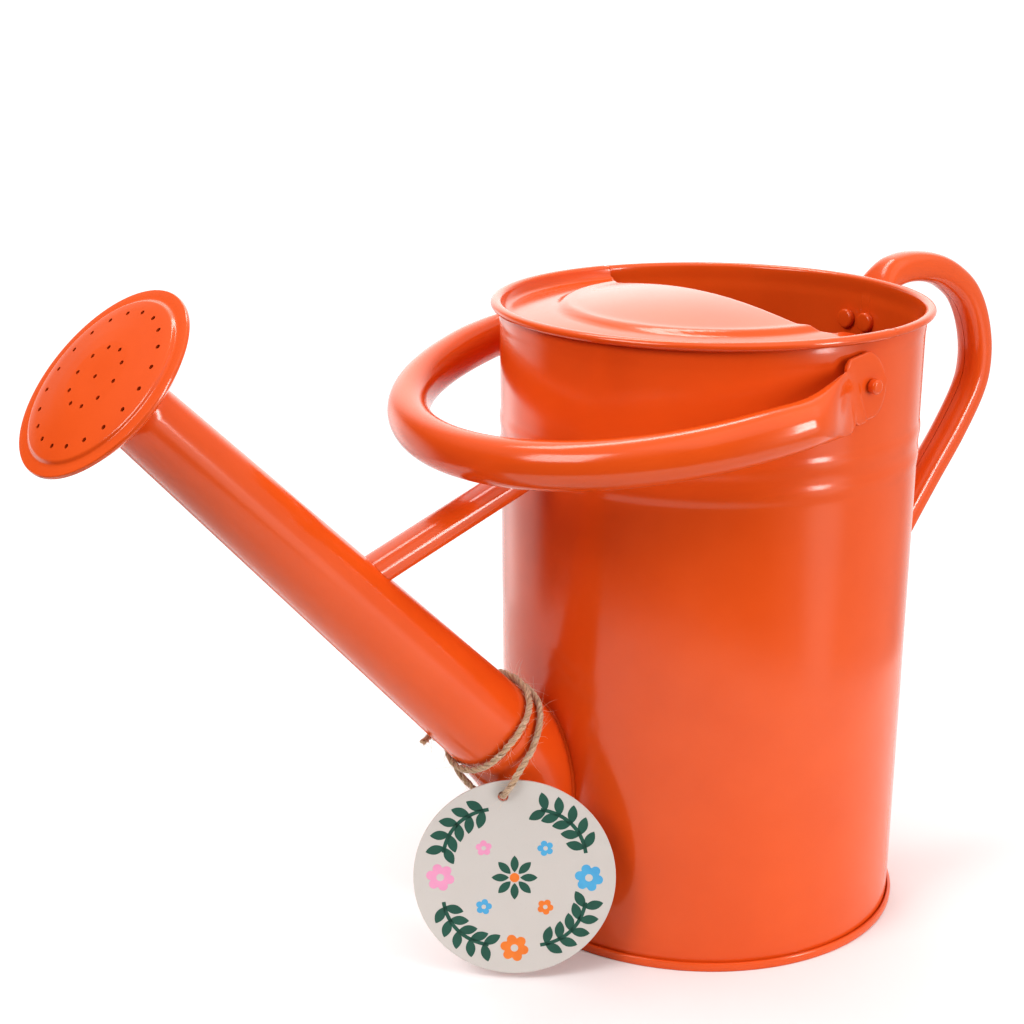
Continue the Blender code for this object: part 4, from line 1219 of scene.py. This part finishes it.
def tag_placing():
    up, out, right = tag_frame()
    return Matrix.Translation(TAG_CENTRE) @ Matrix((right, up, out)).transposed().to_4x4()


def flat_shape(bm, outline, lift, thickness):
    """One inked shape as a thin slab on the card's face; outline is in mm in the tag's plane."""
    front = [bm.verts.new((x * MM, y * MM, lift + thickness)) for x, y in outline]
    back = [bm.verts.new((x * MM, y * MM, lift)) for x, y in outline]
    bm.faces.new(front)
    bm.faces.new(back[::-1])
    for i in range(len(outline)):
        j = (i + 1) % len(outline)
        bm.faces.new((front[j], front[i], back[i], back[j]))


def leaf(root, angle, length, width, steps=10):
    """A pointed leaf that grows from root in the given direction."""
    ahead = (math.cos(angle), math.sin(angle))
    outline = []
    for hand in (1, -1):
        for step in range(steps):
            t = step / steps if hand == 1 else 1 - step / steps
            along = length * t
            aside = hand * width / 2 * math.sin(math.pi * t) ** 0.8
            outline.append((root[0] + ahead[0] * along - ahead[1] * aside,
                            root[1] + ahead[1] * along + ahead[0] * aside))
    return outline


def disc(centre, radius):
    return round_points(centre, [radius] * 28)


def petals(centre, radius, count, turn):
    """A simple flower outline with rounded petals."""
    steps = count * 12
    waves = [abs(math.sin(count * (TAU * i / steps - turn) / 2)) for i in range(steps)]
    return round_points(centre, [radius * (0.62 + 0.38 * wave ** 0.6) for wave in waves])


def ribbon(points, width):
    """A stem of even width along a line of points."""
    left, right = [], []
    for i, (x, y) in enumerate(points):
        before = points[max(i - 1, 0)]
        after = points[min(i + 1, len(points) - 1)]
        run = math.hypot(after[0] - before[0], after[1] - before[1])
        nx, ny = -(after[1] - before[1]) / run, (after[0] - before[0]) / run
        left.append((x + nx * width / 2, y + ny * width / 2))
        right.append((x - nx * width / 2, y - ny * width / 2))
    return left + right[::-1]


def wreath_point(degrees, radius):
    return radius * math.cos(math.radians(degrees)), radius * math.sin(math.radians(degrees))


def round_points(centre, radii):
    """A closed outline with its points at even angles, each this far from the centre."""
    count = len(radii)
    spots = [wreath_point(360 * i / count, radius) for i, radius in enumerate(radii)]
    return [(centre[0] + x, centre[1] + y) for x, y in spots]


def stem_point(start, t):
    """A point along one sprig's bowed stem, which starts at this many degrees."""
    return wreath_point(start + t * 50, 29.5 + 1.6 * math.sin(math.pi * t))


def tag_art():
    """A plain repeating wreath of our own: four bowed sprigs with paired leaves, and flowers."""
    art = {ink: [] for ink in INK_TONES}
    for start in (20, 110, 200, 290):
        art["leaf_ink"].append(ribbon([stem_point(start, t) for t in np.linspace(0, 1, 16)], 1.5))
        for step in range(5):
            t = 0.08 + 0.21 * step
            for hand in (-1, 1):
                angle = math.radians(start + t * 50 + 90 - hand * 52)
                art["leaf_ink"].append(leaf(stem_point(start, t), angle, 7.6, 3.8))
    # Degrees round the card, distance out, radius, petals, their turn, the eye's radius and the ink
    flowers = (
        (0, 29, 5.6, 6, 0.3, 1.5, "blue_ink"),
        (180, 29, 5.6, 6, 0.3, 1.5, "pink_ink"),
        (270, 29, 5.6, 6, 0.3, 1.5, "orange_ink"),
        (45, 17, 3.2, 5, 0, 0.9, "blue_ink"),
        (135, 17, 3.2, 5, 1, 0.9, "pink_ink"),
        (225, 17, 3.2, 5, 2, 0.9, "blue_ink"),
        (315, 17, 3.2, 5, 3, 0.9, "orange_ink"),
    )
    for degrees, out, radius, count, turn, eye, ink in flowers:
        centre = wreath_point(degrees, out)
        art[ink].append(petals(centre, radius, count, turn))
        art["card_ink"].append(disc(centre, eye))
    for degrees in range(0, 360, 45):
        art["leaf_ink"].append(leaf(wreath_point(degrees, 2.2), math.radians(degrees), 6.8, 3.2))
    art["orange_ink"].append(disc((0, 0), 1.9))
    return art


def build_tag(card):
    """The round card with its punched hole, and each ink's shapes as thin slabs on its face."""
    half = TAG_THICKNESS / 2
    flat = TAG_RADIUS - CARD_CORNER
    outline = [(0, half), (flat, half), (TAG_RADIUS, half - CARD_CORNER),
               (TAG_RADIUS, -half + CARD_CORNER), (flat, -half), (0, -half)]
    board = lathe("swing_card", outline, 200, tag_placing())
    tag = piece("swing_card", board, card, "swing_tag", ["tag"])
    _, out, _ = tag_frame()
    through = [(TAG_HOLE - out * 4 * MM, TAG_HOLE + out * 4 * MM)]
    cut(tag, rods("tag_hole", through, TAG_HOLE_RADIUS, 40), 30)
    for layer, (ink, shapes) in enumerate(tag_art().items()):
        bm = bmesh.new()
        lift = half + 0.005 * MM + INK_THICKNESS * (ink == "card_ink")
        for shape in shapes:
            flat_shape(bm, shape, lift, INK_THICKNESS + 0.003 * MM * layer)
        name = "print_" + ink
        mesh = mesh_from(name, bm)
        mesh.transform(tag_placing())
        piece(name, tidied(mesh), printing_ink(ink, INK_TONES[ink]), "swing_tag")


# ---------------------------------------------------------------- stage

def add_stage():
    """A round white turntable top, wide enough for the can's own shadow."""
    bm = bmesh.new()
    bmesh.ops.create_circle(bm, cap_ends=True, segments=96, radius=STAGE_RADIUS)
    mesh = mesh_from("studio_floor", bm)
    mesh.materials.append(floor_paint())
    linked("studio_floor", mesh)


def add_panel(name, place, size, power):
    data = bpy.data.lights.new(name, "AREA")
    data.shape = "RECTANGLE"
    data.size, data.size_y = size
    data.energy = power
    item = linked(name, data)
    item.location = place
    item.rotation_euler = (Vector(PANEL_AIM) - Vector(place)).to_track_quat("-Z", "Y").to_euler()


def add_lights():
    """A studio that is bright on some sides, white as the backdrop, and the soft panels."""
    world = bpy.data.worlds.new("studio")
    bpy.context.scene.world = world
    world.use_nodes = True
    tree = world.node_tree
    direction = add_node(tree, "ShaderNodeTexCoord").outputs["Generated"]
    total = STUDIO_DIM
    for towards, start, full, strength in STUDIO_SIDES:
        facing = add_node(tree, "ShaderNodeVectorMath", {0: direction, 1: towards}, operation="DOT_PRODUCT")
        glow = remap(tree, facing.outputs["Value"], start, full, 0.0, strength, "SMOOTHSTEP")
        total = add_node(tree, "ShaderNodeMath", {0: total, 1: glow}, operation="ADD").outputs[0]
    seen = add_node(tree, "ShaderNodeLightPath").outputs["Is Camera Ray"]
    shown = add_node(tree, "ShaderNodeMix", {0: seen, 2: total, 3: 1.0}, data_type="FLOAT").outputs[0]
    set_inputs(tree.nodes["Background"], {"Strength": shown, "Color": (1.0, 1.0, 1.0, 1.0)})
    for panel in PANELS:
        add_panel(*panel)
    bpy.context.scene.view_settings.view_transform = "Standard"
    bpy.context.scene.view_settings.look = "Medium High Contrast"


# ---------------------------------------------------------------- assembly

def main():
    add_camera()
    twine, fuzz, knot, spots, length = build_twine()
    paint = orange_paint()
    for build in (
            build_body, build_base, build_cover, build_spout_tube, build_spout_elbow, build_brace,
            build_rose, build_rivets, build_bail, build_rear_handle):
        build(paint)
    build_tag(card_stock())
    NODES["rim_wire"].data.materials.clear()
    NODES["rim_wire"].data.materials.append(bare_steel())
    tuple(spots[0])
    [tuple(spot) for spot in spots[::3]]
    add_stage()
    add_lights()


main()
